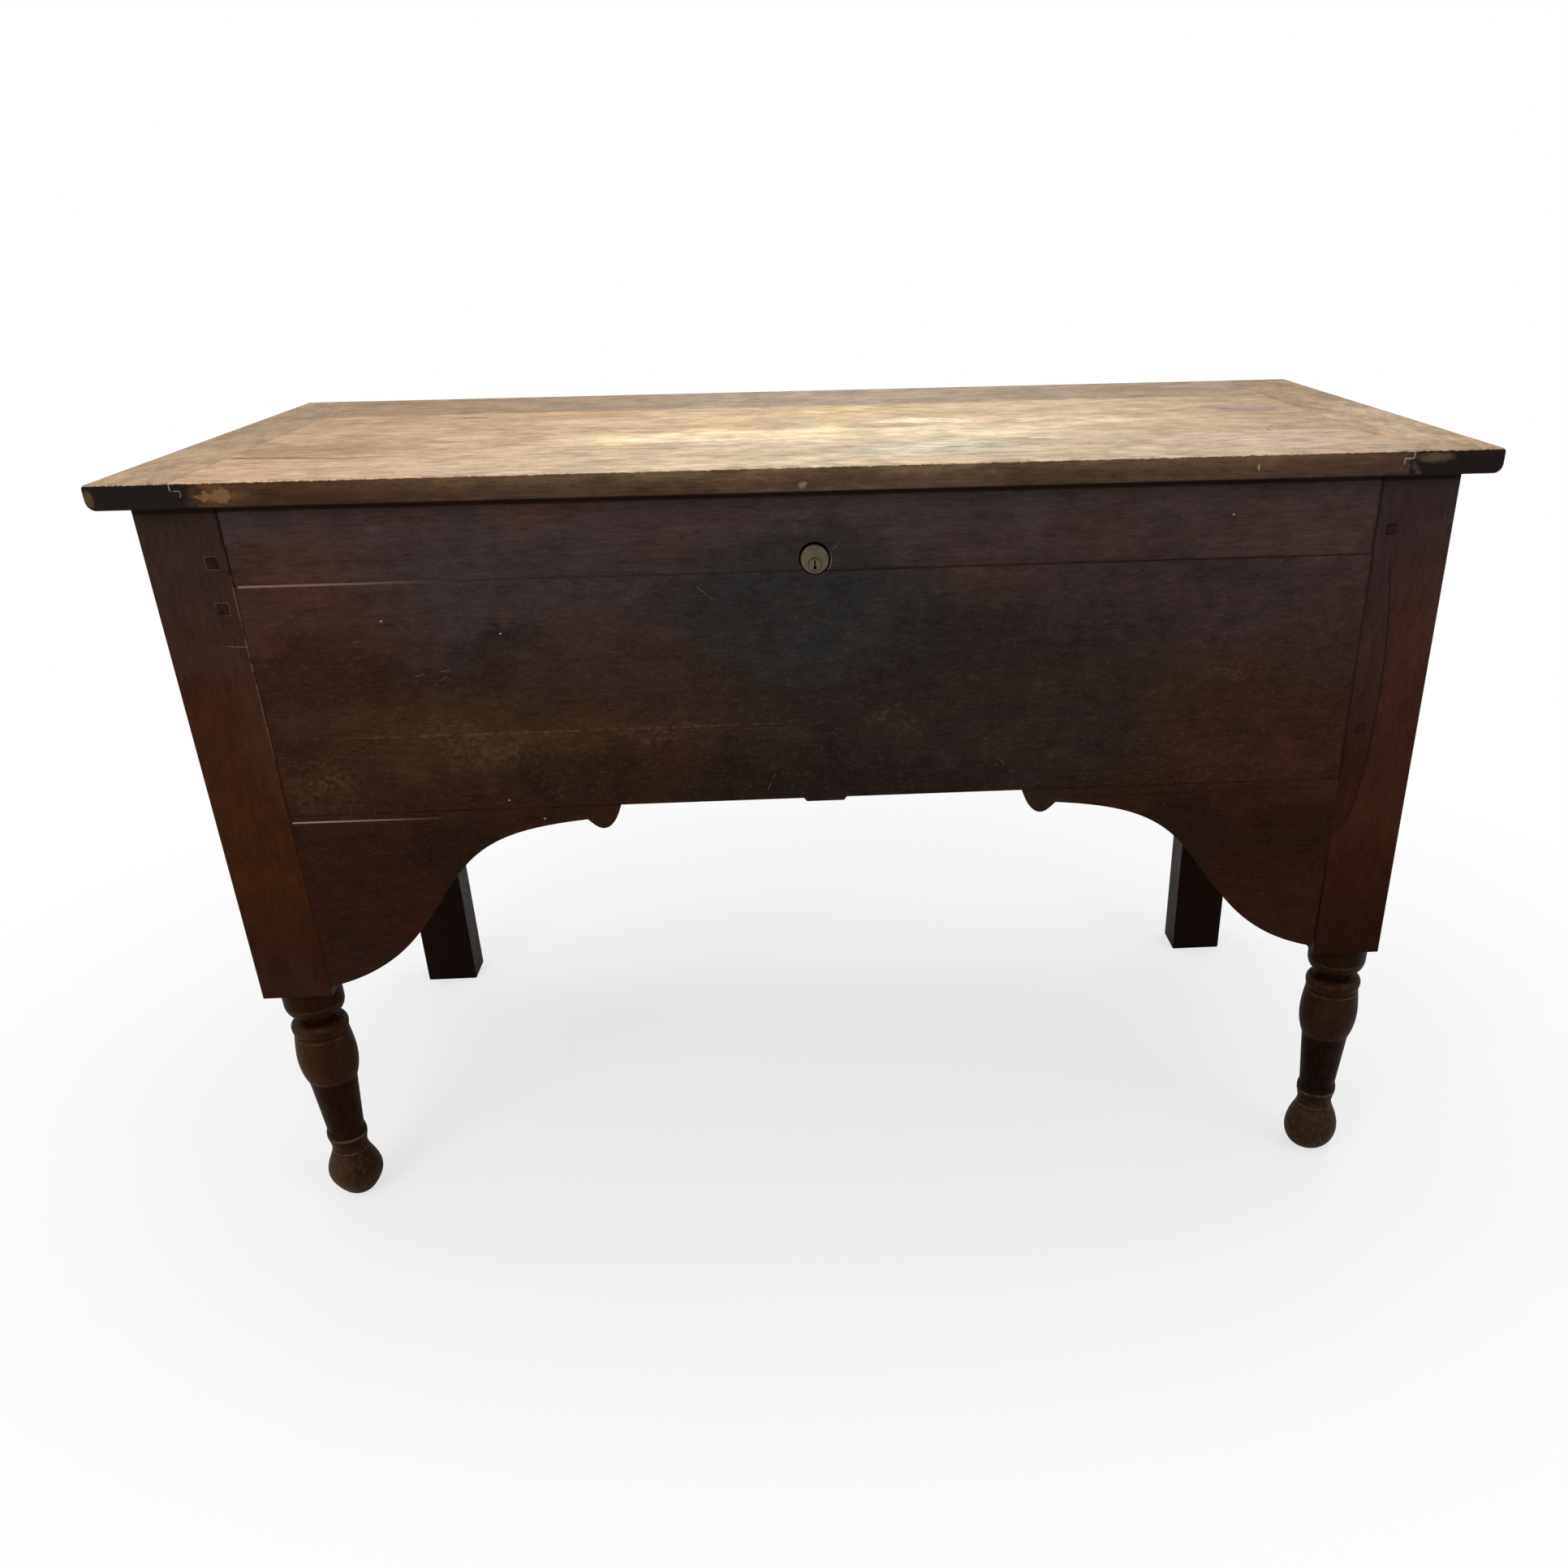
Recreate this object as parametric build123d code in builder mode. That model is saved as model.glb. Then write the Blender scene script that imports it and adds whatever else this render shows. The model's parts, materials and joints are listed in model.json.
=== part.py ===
"""Joined sugar chest on turned front legs, with a breadboard lid and a cylinder lock.

Millimetres. +X is to the right of someone facing the chest, +Y goes back, +Z is up.
The origin is on the floor, under the middle of the chest's bounding box.
"""

from build123d import *
from math import cos, radians, sin
import os

os.makedirs("parts", exist_ok=True)

# %% Driving dimensions

# Case
case_width = 1330.0  # across the outer faces of the posts
case_depth = 681.0  # front posts' faces to rear posts' backs
case_height = 857.0  # floor to the tops of the posts, where the lid rests
front_post_size = 80.0
rear_post_width = 77.5
rear_post_depth = 60.0
post_edge_radius = 1.5
rear_foot_chamfer = 1.2

# Walls
wall_bottom = 529.0  # lower edge of the boards above the floor
rail_height = 82.0
board_thickness = 22.0
board_recess = 2.0  # face of the boards behind the posts' faces
rail_recess = 3.5
front_glue_line = 613.0  # height of the joint between the two front boards
back_glue_line = 640.0
glue_line_gap = 0.1
tenon_thickness = 10.0
tenon_length = 30.0
tenon_haunch = 12.0  # the rail tenon stops this far below the post's top
front_lip_width = 48.0  # shallow lip left under the middle of the front
front_lip_drop = 4.0
front_lip_x = 3.0
front_lip_angle = 50.0
half_turn = 180.0
quarter_turn = 90.0
match_margin = 0.01  # edges are picked by position to within this
joint_clearance = 0.2
pilot_clearance = 0.1

# Pegs
peg_size = 11.0
peg_length = 45.0
peg_proud = 0.6
peg_inset = 15.0  # peg's middle to the post's inner edge
peg_in_rail = 57.0  # peg's middle below the post's top
peg_in_upper_board = 20.5  # below the rail
peg_in_lower_board = 59.0  # above the boards' lower edge
peg_corner_radius = 1.2

# Turned front legs
leg_height = 306.0
left_leg_offset = 2.0  # the lathe's centres were a little off the posts' own
right_leg_offset = 6.2
neck_radius = 35.0
neck_length = 24.0
groove_height = 260.0
groove_radius = 19.0
groove_width = 4.0
bead_top_radius = 24.5
bead_radius = 33.3
bead_bottom = 241.0
vase_top_radius = 31.8
vase_radius = 35.4
vase_widest_height = 205.0
vase_bottom_radius = 29.4
vase_bottom_height = 174.0
cut_line_depth = 1.2
shaft_top_radius = 28.5
shaft_bottom_radius = 22.2
collar_radius = 24.5
collar_height = 14.0
collar_bottom = 83.0
ankle_radius = 21.5
ankle_height = 74.0
shoulder_radius = 27.2
shoulder_height = 56.0
foot_radius = 33.4
foot_widest_height = 34.0
left_foot_under_radius = 23.5  # this foot has worn rounder than the other
right_foot_under_radius = 27.4
foot_under_height = 11.0
foot_contact_radius = 9.0
vase_swell = 0.15  # how fast the outline widens per millimetre down, where each curve starts and ends
vase_taper = 0.42
ankle_flare = 0.05
sole_rise = 0.12

# Shaped brackets under the front
bracket_thickness = 20.0
bracket_edge_radius = 1.0
bracket_recess = 0.8
bracket_drop = 212.0  # depth of the bracket where it meets the post
bracket_reach = 361.5  # post to the far side of the small drop
lobe_angle = 12.0
lobe_out = 107.0
lobe_down = 155.0
hollow_out = 183.0
hollow_down = 63.0
finger_angle = 5.0
drop_width = 38.5
finger_depth = 15.7
drop_depth = 26.2
drop_low_out = 25.0  # lowest point of the drop from its far side
drop_start_angle = 45.0
drop_end_angle = 73.0
right_gap = 3.0  # the right bracket has shrunk away from its post at the bottom
right_gap_start = 69.0
block_size = 38.0
block_height = 110.0

# Floor and dividers
bearer_size = 24.0
bearer_rise = 6.0  # bearer's underside above the boards' lower edge
floor_thickness = 16.0
floor_board_count = 5
floor_board_gap = 0.6
middle_bin_width = 430.0
divider_thickness = 14.0
divider_below_rim = 40.0
guide_size = 12.0
nail_radius = 1.4
nail_head_radius = 3.2
nail_head_height = 1.0
nail_length = 36.0
nails_per_bearer = 5
nail_end_distance = 80.0

# Lid
lid_thickness = 24.0
lid_overhang_side = 27.0
lid_overhang_front = 30.0
left_end_width = 81.5
right_end_width = 92.0
lid_front_board = 170.0
lid_middle_board = 315.0
lid_joint_gap = 0.2
tongue_thickness = 8.4
tongue_length = 9.0
lid_end_top_radius = 5.0
lid_end_bottom_radius = 9.0
lid_edge_radius = 1.8

# Butt hinges
hinge_inset = 157.5  # back rail's end to the hinge's middle
hinge_length = 76.0
hinge_leaf_width = 24.0  # pin's axis to the leaf's far edge
hinge_leaf_thickness = 2.0
hinge_leaf_sink = 0.2
knuckle_radius = 4.5
knuckle_count = 3
knuckle_gap = 0.3
hinge_axis_behind = 5.0  # pin's axis behind the posts' backs
hinge_pin_radius = 2.5
running_clearance = 0.05
pin_head_radius = 3.6
pin_head_height = 1.2
hinge_screw_spacing = 26.0
hinge_screw_row = 15.0  # from the pin's axis
leaf_screw_head_radius = 4.0
leaf_screw_radius = 2.0
leaf_screw_length = 17.0
screw_slot_width = 1.0
screw_slot_depth = 0.9

# Cylinder lock
lock_x = 2.0
lock_drop = 71.6  # cylinder's axis below the top of the case
cylinder_radius = 14.6
cylinder_recess = 5.0  # cylinder's face behind the posts' faces
cylinder_edge_radius = 0.8
lock_hole_radius = 16.5
lock_hole_rise = 1.6  # the hole was bored a little high
plug_drop = 5.2  # plug's axis below the cylinder's
plug_radius = 6.35
plug_ring_width = 1.1
plug_end_gap = 0.3
keyway_width = 1.8
keyway_height = 9.0
keyway_side_width = 3.2
keyway_side_height = 3.0
keyway_depth = 15.0
tail_radius = 3.2
tail_size = 4.5
lock_plate_thickness = 2.0
lock_wall = 2.0
lock_case_width = 84.0
lock_case_height = 96.0
lock_case_depth = 16.0
lock_case_drop = 0.5
cam_crank = 8.5
cam_thickness = 3.0
cam_hub_radius = 5.5
cam_tip_radius = 3.6
cam_pin_radius = 2.0
cam_swing = 90.0  # a quarter turn of the key
layer_gap = 0.5
bolt_thickness = 4.0
bolt_body_height = 18.0
bolt_arm_width = 7.0
finger_height = 8.0
finger_length = 13.0
finger_drop = 14.0  # middle of the bolt's fingers below the top of the case
finger_gap = 1.0  # finger's tip to the staple when the bolt is back
fork_clearance = 0.7
fork_prong = 3.5
fork_depth = 9.0
stud_radius = 2.0
left_stud_x = -16.0  # the studs and staples are placed from the lock's middle
right_stud_x = 4.0
lock_screw_inset = 6.0
lock_screw_radius = 1.7
lock_screw_head_radius = 3.2
lock_screw_grip = 12.0
cylinder_screw_x = 9.5
cylinder_screw_rise = 3.0
cylinder_screw_grip = 8.0

# Strike plate under the lid
strike_length = 72.0
strike_width = 16.0
strike_thickness = 2.0
strike_sink = 0.2
left_staple_x = -12.0
right_staple_x = 24.0
staple_thickness = 3.0
staple_width = 9.4
staple_wall = 1.8
eye_clearance = 2.0
staple_slot_clearance = 1.2
strike_screw_length = 14.0

# %% Values that follow from them

hinge_reach = hinge_axis_behind + knuckle_radius
total_depth = lid_overhang_front + case_depth + hinge_reach
front = lid_overhang_front - total_depth / 2
back = front + case_depth
right = case_width / 2
front_post_inner = right - front_post_size
rear_post_inner = right - rear_post_width
wall_inner_depth = board_recess + board_thickness
rail_bottom = case_height - rail_height
rail_thickness = wall_inner_depth - rail_recess
tongue_depth = board_recess + (board_thickness - tenon_thickness) / 2
tenon_top = case_height - tenon_haunch
peg_heights = [case_height - peg_in_rail, rail_bottom - peg_in_upper_board, wall_bottom + peg_in_lower_board]
left_peg_heights = peg_heights[:2]
right_peg_heights = peg_heights[::2]

# Each wall's plane looks outwards: its x runs to the right of someone facing it, its y is height
front_wall = Plane(origin=(0, front, 0), x_dir=(1, 0, 0), z_dir=(0, -1, 0))
back_wall = Plane(origin=(0, back, 0), x_dir=(-1, 0, 0), z_dir=(0, 1, 0))
left_wall = Plane(origin=(-right, 0, 0), x_dir=(0, -1, 0), z_dir=(-1, 0, 0))
right_wall = Plane(origin=(right, 0, 0), x_dir=(0, 1, 0), z_dir=(1, 0, 0))

front_span = (-front_post_inner, front_post_inner)
back_span = (-rear_post_inner, rear_post_inner)
right_span = (front + front_post_size, back - rear_post_depth)
left_span = (-right_span[1], -right_span[0])


def save(piece, name):
    """Label a finished piece and write it as its own STEP file."""
    piece.part.label = name
    export_step(piece.part, f"parts/{name}.step")


def block(low, high, mode=Mode.ADD):
    """A box given by its lowest and highest corners, inside the open part."""
    middle = [(a + b) / 2 for a, b in zip(low, high)]
    size = [b - a for a, b in zip(low, high)]
    with Locations(tuple(middle)):
        Box(*size, mode=mode)


def edges_at(edges, axis, position):
    """Those of the edges that lie at one position along an axis."""
    return edges.filter_by_position(axis, position - match_margin, position + match_margin)


# %% Posts and legs


def cut_mortise(wall, edge, towards):
    """A slot in a post for the tongues of one wall; towards is +1 or -1 along the wall's x."""
    slot_length = tenon_length + 2 * joint_clearance
    slot_height = tenon_top - wall_bottom + 2 * joint_clearance
    with BuildSketch(wall.offset(-(tongue_depth - joint_clearance))) as slot:
        with Locations((edge + towards * tenon_length / 2, (wall_bottom + tenon_top) / 2)):
            Rectangle(slot_length, slot_height)
    extrude(slot.sketch, amount=-(tenon_thickness + 2 * joint_clearance), mode=Mode.SUBTRACT)


def cut_peg_holes(wall, places):
    """Square holes through whatever lies behind these places on a wall's face."""
    with BuildSketch(wall.offset(peg_proud)) as holes:
        with Locations(*places):
            RectangleRounded(peg_size, peg_size, peg_corner_radius)
    extrude(holes.sketch, amount=-peg_length, mode=Mode.SUBTRACT)


def peg_places(edge, towards, heights):
    return [(edge + towards * peg_inset, height) for height in heights]


front_left_pegs = peg_places(front_span[0], -1, left_peg_heights)
front_right_pegs = peg_places(front_span[1], 1, right_peg_heights)
back_left_pegs = peg_places(back_span[0], -1, peg_heights)
back_right_pegs = peg_places(back_span[1], 1, peg_heights)
side_pegs_near = peg_places(right_span[0], -1, peg_heights)
side_pegs_far = peg_places(right_span[1], 1, peg_heights)


def mirrored(places):
    """The same places on the opposite wall, whose x runs the other way."""
    return [(-x, height) for x, height in places]


def turn_leg(axis_x, axis_y, foot_under_radius):
    """Revolve the leg's outline about an upright axis."""
    leg_plane = Plane(origin=(axis_x, axis_y, 0), x_dir=(1, 0, 0), z_dir=(0, -1, 0))
    neck_bottom = leg_height - neck_length
    groove_top = groove_height + groove_width / 2
    groove_bottom = groove_height - groove_width / 2
    bead_middle = groove_bottom - (bead_radius - bead_top_radius)
    cut_low = bead_bottom - cut_line_depth
    collar_top = collar_bottom + collar_height
    collar_shoulder = (shaft_bottom_radius + collar_radius) / 2
    with BuildSketch(leg_plane) as outline:
        with BuildLine():
            Polyline((0, leg_height), (neck_radius, leg_height), (neck_radius, neck_bottom))
            TangentArc((neck_radius, neck_bottom), (groove_radius, groove_top), tangent=(0, -1))
            Polyline((groove_radius, groove_top), (groove_radius, groove_bottom), (bead_top_radius, groove_bottom))
            TangentArc((bead_top_radius, groove_bottom), (bead_radius, bead_middle), tangent=(1, 0))
            TangentArc((bead_radius, bead_middle), (vase_top_radius, bead_bottom), tangent=(0, -1))
            Polyline(
                (vase_top_radius, bead_bottom),
                (vase_top_radius - cut_line_depth, bead_bottom - cut_line_depth / 2),
                (vase_top_radius, cut_low),
            )
            Spline(
                (vase_top_radius, cut_low),
                (vase_radius, vase_widest_height),
                (vase_bottom_radius, vase_bottom_height),
                tangents=((vase_swell, -1), (-vase_taper, -1)),
            )
            Polyline(
                (vase_bottom_radius, vase_bottom_height),
                (shaft_top_radius, vase_bottom_height - cut_line_depth / 2),
                (shaft_bottom_radius, collar_top + cut_line_depth),
                (collar_shoulder, collar_top),
            )
            ThreePointArc(
                (collar_shoulder, collar_top),
                (collar_radius, collar_bottom + collar_height / 2),
                (collar_shoulder, collar_bottom),
            )
            Line((collar_shoulder, collar_bottom), (ankle_radius, ankle_height))
            Spline(
                (ankle_radius, ankle_height),
                (shoulder_radius, shoulder_height),
                (foot_radius, foot_widest_height),
                (foot_under_radius, foot_under_height),
                (foot_contact_radius, 0),
                tangents=((ankle_flare, -1), (-1, -sole_rise)),
            )
            Polyline((foot_contact_radius, 0), (0, 0), (0, leg_height))
        make_face()
    revolve(outline.sketch, axis=Axis((axis_x, axis_y, 0), (0, 0, 1)))


def front_post(side, leg_offset, foot_under_radius, front_peg_places, side_wall, side_edge, side_peg_places):
    """Square post and turned leg from one piece of wood; side is -1 for left, +1 for right."""
    axis_x = side * (right - front_post_size / 2)
    axis_y = front + front_post_size / 2
    with BuildPart() as post:
        with BuildSketch(Plane.XY.offset(leg_height)):
            with Locations((axis_x, axis_y)):
                RectangleRounded(front_post_size, front_post_size, post_edge_radius)
        extrude(amount=case_height - leg_height)
        turn_leg(axis_x + leg_offset, axis_y, foot_under_radius)
        cut_mortise(front_wall, side * front_post_inner, side)
        cut_mortise(side_wall, side_edge, -side)
        cut_peg_holes(front_wall, front_peg_places)
        cut_peg_holes(side_wall, side_peg_places)
    return post


front_post_left = front_post(
    -1,
    left_leg_offset,
    left_foot_under_radius,
    front_left_pegs,
    left_wall,
    left_span[1],
    mirrored(side_pegs_near),
)
front_post_right = front_post(
    1,
    right_leg_offset,
    right_foot_under_radius,
    front_right_pegs,
    right_wall,
    right_span[0],
    side_pegs_near,
)
save(front_post_left, "front_post_left")
save(front_post_right, "front_post_right")


def rear_post(side, back_peg_places, side_wall, side_edge, side_peg_places):
    """Plain square post that runs down to the floor."""
    with BuildPart() as post:
        with BuildSketch(Plane.XY):
            with Locations((side * (right - rear_post_width / 2), back - rear_post_depth / 2)):
                RectangleRounded(rear_post_width, rear_post_depth, post_edge_radius)
        extrude(amount=case_height)
        chamfer(post.faces().sort_by(Axis.Z)[0].edges(), rear_foot_chamfer)
        cut_mortise(back_wall, -side * rear_post_inner, -side)
        cut_mortise(side_wall, side_edge, side)
        cut_peg_holes(back_wall, back_peg_places)
        cut_peg_holes(side_wall, side_peg_places)
    return post


rear_post_left = rear_post(-1, back_right_pegs, left_wall, left_span[0], mirrored(side_pegs_far))
rear_post_right = rear_post(1, back_left_pegs, right_wall, right_span[1], side_pegs_far)
save(rear_post_left, "rear_post_left")
save(rear_post_right, "rear_post_right")

# %% Walls: a rail above one or two boards, tongued into the posts


def wall_piece(wall, span, bottom, top, recess, thickness, tongue_top, pegs):
    """A board between two posts with a full tongue on each end, bored for the pegs."""
    middle_x = (span[0] + span[1]) / 2
    length = span[1] - span[0] - 2 * joint_clearance
    with BuildPart() as board:
        with BuildSketch(wall.offset(-recess)):
            with Locations((middle_x, (bottom + top) / 2)):
                Rectangle(length, top - bottom)
        extrude(amount=-thickness)
        with BuildSketch(wall.offset(-tongue_depth)):
            with Locations((middle_x, (bottom + tongue_top) / 2)):
                Rectangle(span[1] - span[0] + 2 * tenon_length, tongue_top - bottom)
        extrude(amount=-tenon_thickness)
        cut_peg_holes(wall, pegs)
    return board


lock_z = case_height - lock_drop
plug_z = lock_z - plug_drop
lock_case_top = case_height - lock_case_drop
lock_case_bottom = lock_case_top - lock_case_height
lock_screw_places = [
    (lock_x + side * (lock_case_width / 2 - lock_screw_inset), height)
    for side in (-1, 1)
    for height in (lock_case_top - lock_screw_inset, lock_case_bottom + lock_screw_inset)
]


def bore_lock_hole():
    """The round hole for the lock cylinder, cut through the open part from the front."""
    with BuildSketch(front_wall) as hole:
        with Locations((lock_x, lock_z + lock_hole_rise)):
            Circle(lock_hole_radius)
    extrude(hole.sketch, amount=-wall_inner_depth, mode=Mode.SUBTRACT)


def bore_screw_holes(wall, places, radius, depth):
    """Round pilot holes bored outwards from a wall's inner face."""
    with BuildSketch(wall.offset(-wall_inner_depth)) as holes:
        with Locations(*places):
            Circle(radius + pilot_clearance)
    extrude(holes.sketch, amount=depth + pilot_clearance, mode=Mode.SUBTRACT)


front_pegs_all = front_left_pegs + front_right_pegs
front_rail_blank = wall_piece(
    front_wall, front_span, rail_bottom, case_height, rail_recess, rail_thickness, tenon_top, front_pegs_all
)
with BuildPart() as front_top_rail:
    add(front_rail_blank.part)
    bore_lock_hole()
    bore_screw_holes(front_wall, lock_screw_places, lock_screw_radius, lock_screw_grip)
save(front_top_rail, "front_top_rail")

front_upper_blank = wall_piece(
    front_wall,
    front_span,
    front_glue_line + glue_line_gap / 2,
    rail_bottom,
    board_recess,
    board_thickness,
    rail_bottom,
    front_pegs_all,
)
with BuildPart() as front_board_upper:
    add(front_upper_blank.part)
    bore_lock_hole()
    bore_screw_holes(front_wall, lock_screw_places, lock_screw_radius, lock_screw_grip)
save(front_board_upper, "front_board_upper")

bearer_bottom = wall_bottom + bearer_rise
bearer_middle = bearer_bottom + bearer_size / 2
nail_reach = nail_length - bearer_size
nail_half_run = front_post_inner - nail_end_distance
nail_step = 2 * nail_half_run / (nails_per_bearer - 1)
nail_places = [(-nail_half_run + step * nail_step, bearer_middle) for step in range(nails_per_bearer)]

front_lower_blank = wall_piece(
    front_wall,
    front_span,
    wall_bottom,
    front_glue_line - glue_line_gap / 2,
    board_recess,
    board_thickness,
    front_glue_line - glue_line_gap / 2,
    front_pegs_all,
)
with BuildPart() as front_board_lower:
    add(front_lower_blank.part)
    with BuildSketch(front_wall.offset(-board_recess)):
        with Locations((front_lip_x, wall_bottom - front_lip_drop / 2)):
            Trapezoid(front_lip_width, front_lip_drop, front_lip_angle, rotation=half_turn)
    extrude(amount=-board_thickness)
    bore_screw_holes(front_wall, nail_places, nail_radius, nail_reach)
save(front_board_lower, "front_board_lower")

back_pegs_all = back_left_pegs + back_right_pegs
back_top_rail_blank = wall_piece(
    back_wall, back_span, rail_bottom, case_height, rail_recess, rail_thickness, tenon_top, back_pegs_all
)
back_board_upper = wall_piece(
    back_wall,
    back_span,
    back_glue_line + glue_line_gap / 2,
    rail_bottom,
    board_recess,
    board_thickness,
    rail_bottom,
    back_pegs_all,
)
save(back_board_upper, "back_board_upper")

back_lower_blank = wall_piece(
    back_wall,
    back_span,
    wall_bottom,
    back_glue_line - glue_line_gap / 2,
    board_recess,
    board_thickness,
    back_glue_line - glue_line_gap / 2,
    back_pegs_all,
)
with BuildPart() as back_board_lower:
    add(back_lower_blank.part)
    bore_screw_holes(back_wall, nail_places, nail_radius, nail_reach)
save(back_board_lower, "back_board_lower")

side_pegs_all = side_pegs_near + side_pegs_far
for side_name, side_wall, side_span, side_pegs in (
    ("left", left_wall, left_span, mirrored(side_pegs_all)),
    ("right", right_wall, right_span, side_pegs_all),
):
    side_rail = wall_piece(
        side_wall, side_span, rail_bottom, case_height, rail_recess, rail_thickness, tenon_top, side_pegs
    )
    side_board = wall_piece(
        side_wall, side_span, wall_bottom, rail_bottom, board_recess, board_thickness, rail_bottom, side_pegs
    )
    save(side_rail, f"side_rail_{side_name}")
    save(side_board, f"side_board_{side_name}")


def peg_group(walls_and_places):
    """Square pegs driven in from the outside, all of one wall or pair of walls."""
    with BuildPart() as pegs:
        for wall, places in walls_and_places:
            with BuildSketch(wall.offset(peg_proud)):
                with Locations(*places):
                    side = peg_size - joint_clearance
                    RectangleRounded(side, side, peg_corner_radius)
            extrude(amount=-(peg_length - joint_clearance))
    return pegs


save(peg_group([(front_wall, front_pegs_all)]), "front_pegs")
save(peg_group([(back_wall, back_pegs_all)]), "back_pegs")
save(peg_group([(left_wall, mirrored(side_pegs_all)), (right_wall, side_pegs_all)]), "side_pegs")

# %% Shaped brackets and their glue blocks


def shaped_bracket(side, gap):
    """Sawn bracket: a lobe at the post, a long hollow and a small rounded drop at the tip."""

    def place(out, down):
        return (side * (front_post_inner - out), wall_bottom - down)

    def heading(out, down):
        return (-side * out, -down)

    drop_near = bracket_reach - drop_width
    drop_low = bracket_reach - drop_low_out
    lobe_rise = radians(lobe_angle)
    finger_rise = radians(finger_angle)
    drop_start = radians(drop_start_angle)
    drop_end = radians(drop_end_angle)
    with BuildPart() as bracket:
        with BuildSketch(front_wall.offset(-bracket_recess)):
            with BuildLine():
                Polyline(
                    place(bracket_reach, 0), place(0, 0), place(0, right_gap_start), place(gap, bracket_drop)
                )
                Spline(
                    place(gap, bracket_drop),
                    place(lobe_out, lobe_down),
                    place(hollow_out, hollow_down),
                    place(drop_near, finger_depth),
                    tangents=(
                        heading(cos(lobe_rise), -sin(lobe_rise)),
                        heading(cos(finger_rise), -sin(finger_rise)),
                    ),
                )
                Spline(
                    place(drop_near, finger_depth),
                    place(drop_low, drop_depth),
                    place(bracket_reach, 0),
                    tangents=(
                        heading(cos(drop_start), sin(drop_start)),
                        heading(cos(drop_end), -sin(drop_end)),
                    ),
                )
            make_face()
        extrude(amount=-bracket_thickness)
        face_edges = bracket.faces().sort_by(Axis.Y)[0].edges()
        sawn_edges = face_edges.filter_by(GeomType.BSPLINE)
        fillet(sawn_edges, bracket_edge_radius)
    return bracket


front_bracket_left = shaped_bracket(-1, 0)
front_bracket_right = shaped_bracket(1, right_gap)
save(front_bracket_left, "front_bracket_left")
save(front_bracket_right, "front_bracket_right")

block_front = front + bracket_recess + bracket_thickness
for block_name, side in (("left", -1), ("right", 1)):
    block_edge = side * front_post_inner
    with BuildPart() as bracket_block:
        with BuildSketch(Plane.XY.offset(wall_bottom - block_height)):
            with BuildLine():
                Polyline(
                    (block_edge, block_front),
                    (block_edge - side * block_size, block_front),
                    (block_edge, block_front + block_size),
                    close=True,
                )
            make_face()
        extrude(amount=block_height)
    save(bracket_block, f"bracket_block_{block_name}")

# %% Floor bearers, their nails and the floor

inner_front = front + wall_inner_depth
inner_back = back - wall_inner_depth
inner_right = right - wall_inner_depth
floor_bottom = bearer_bottom + bearer_size
floor_top = floor_bottom + floor_thickness

with BuildPart() as floor_bearer_front:
    block(
        (-front_post_inner + joint_clearance, inner_front, bearer_bottom),
        (front_post_inner - joint_clearance, inner_front + bearer_size, floor_bottom),
    )
    with BuildSketch(front_wall.offset(-wall_inner_depth)):
        with Locations(*nail_places):
            Circle(nail_radius + pilot_clearance)
    extrude(amount=-bearer_size, mode=Mode.SUBTRACT)
save(floor_bearer_front, "floor_bearer_front")

with BuildPart() as floor_bearer_back:
    block(
        (-rear_post_inner + joint_clearance, inner_back - bearer_size, bearer_bottom),
        (rear_post_inner - joint_clearance, inner_back, floor_bottom),
    )
    with BuildSketch(back_wall.offset(-wall_inner_depth)):
        with Locations(*nail_places):
            Circle(nail_radius + pilot_clearance)
    extrude(amount=-bearer_size, mode=Mode.SUBTRACT)
save(floor_bearer_back, "floor_bearer_back")

for bearer_name, side in (("left", -1), ("right", 1)):
    with BuildPart() as floor_bearer_side:
        outer_x, inner_x = side * inner_right, side * (inner_right - bearer_size)
        block(
            (min(outer_x, inner_x), front + front_post_size + joint_clearance, bearer_bottom),
            (max(outer_x, inner_x), back - rear_post_depth - joint_clearance, floor_bottom),
        )
    save(floor_bearer_side, f"floor_bearer_{bearer_name}")

with BuildPart() as bearer_nails:
    for nail_wall in (front_wall, back_wall):
        head_plane = nail_wall.offset(-(wall_inner_depth + bearer_size))
        with BuildSketch(head_plane):
            with Locations(*nail_places):
                Circle(nail_radius)
        extrude(amount=nail_length)
        with BuildSketch(head_plane):
            with Locations(*nail_places):
                Circle(nail_head_radius)
        extrude(amount=-nail_head_height)
save(bearer_nails, "bearer_nails")

floor_width = 2 * (inner_right - joint_clearance)
board_pitch = floor_width / floor_board_count
for number in range(floor_board_count):
    board_left = -floor_width / 2 + number * board_pitch
    with BuildPart() as floor_board:
        block(
            (board_left + floor_board_gap / 2, inner_front + joint_clearance, floor_bottom),
            (board_left + board_pitch - floor_board_gap / 2, inner_back - joint_clearance, floor_top),
        )
        for side in (-1, 1):
            with BuildSketch(Plane.XY.offset(floor_bottom)):
                with Locations((side * right, front)):
                    notch = 2 * (front_post_size + joint_clearance)
                    Rectangle(notch, notch)
                with Locations((side * right, back)):
                    Rectangle(
                        2 * (rear_post_width + joint_clearance), 2 * (rear_post_depth + joint_clearance)
                    )
            extrude(amount=floor_thickness, mode=Mode.SUBTRACT)
    save(floor_board, f"floor_board_{number + 1}")

# %% Dividers between the three bins, each held in guides

divider_top = case_height - divider_below_rim
divider_centre = middle_bin_width / 2 + divider_thickness / 2
for divider_name, side in (("left", -1), ("right", 1)):
    with BuildPart() as divider:
        half = divider_thickness / 2
        block(
            (side * divider_centre - half, inner_front + joint_clearance, floor_top),
            (side * divider_centre + half, inner_back - joint_clearance, divider_top),
        )
    save(divider, f"divider_{divider_name}")

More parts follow.
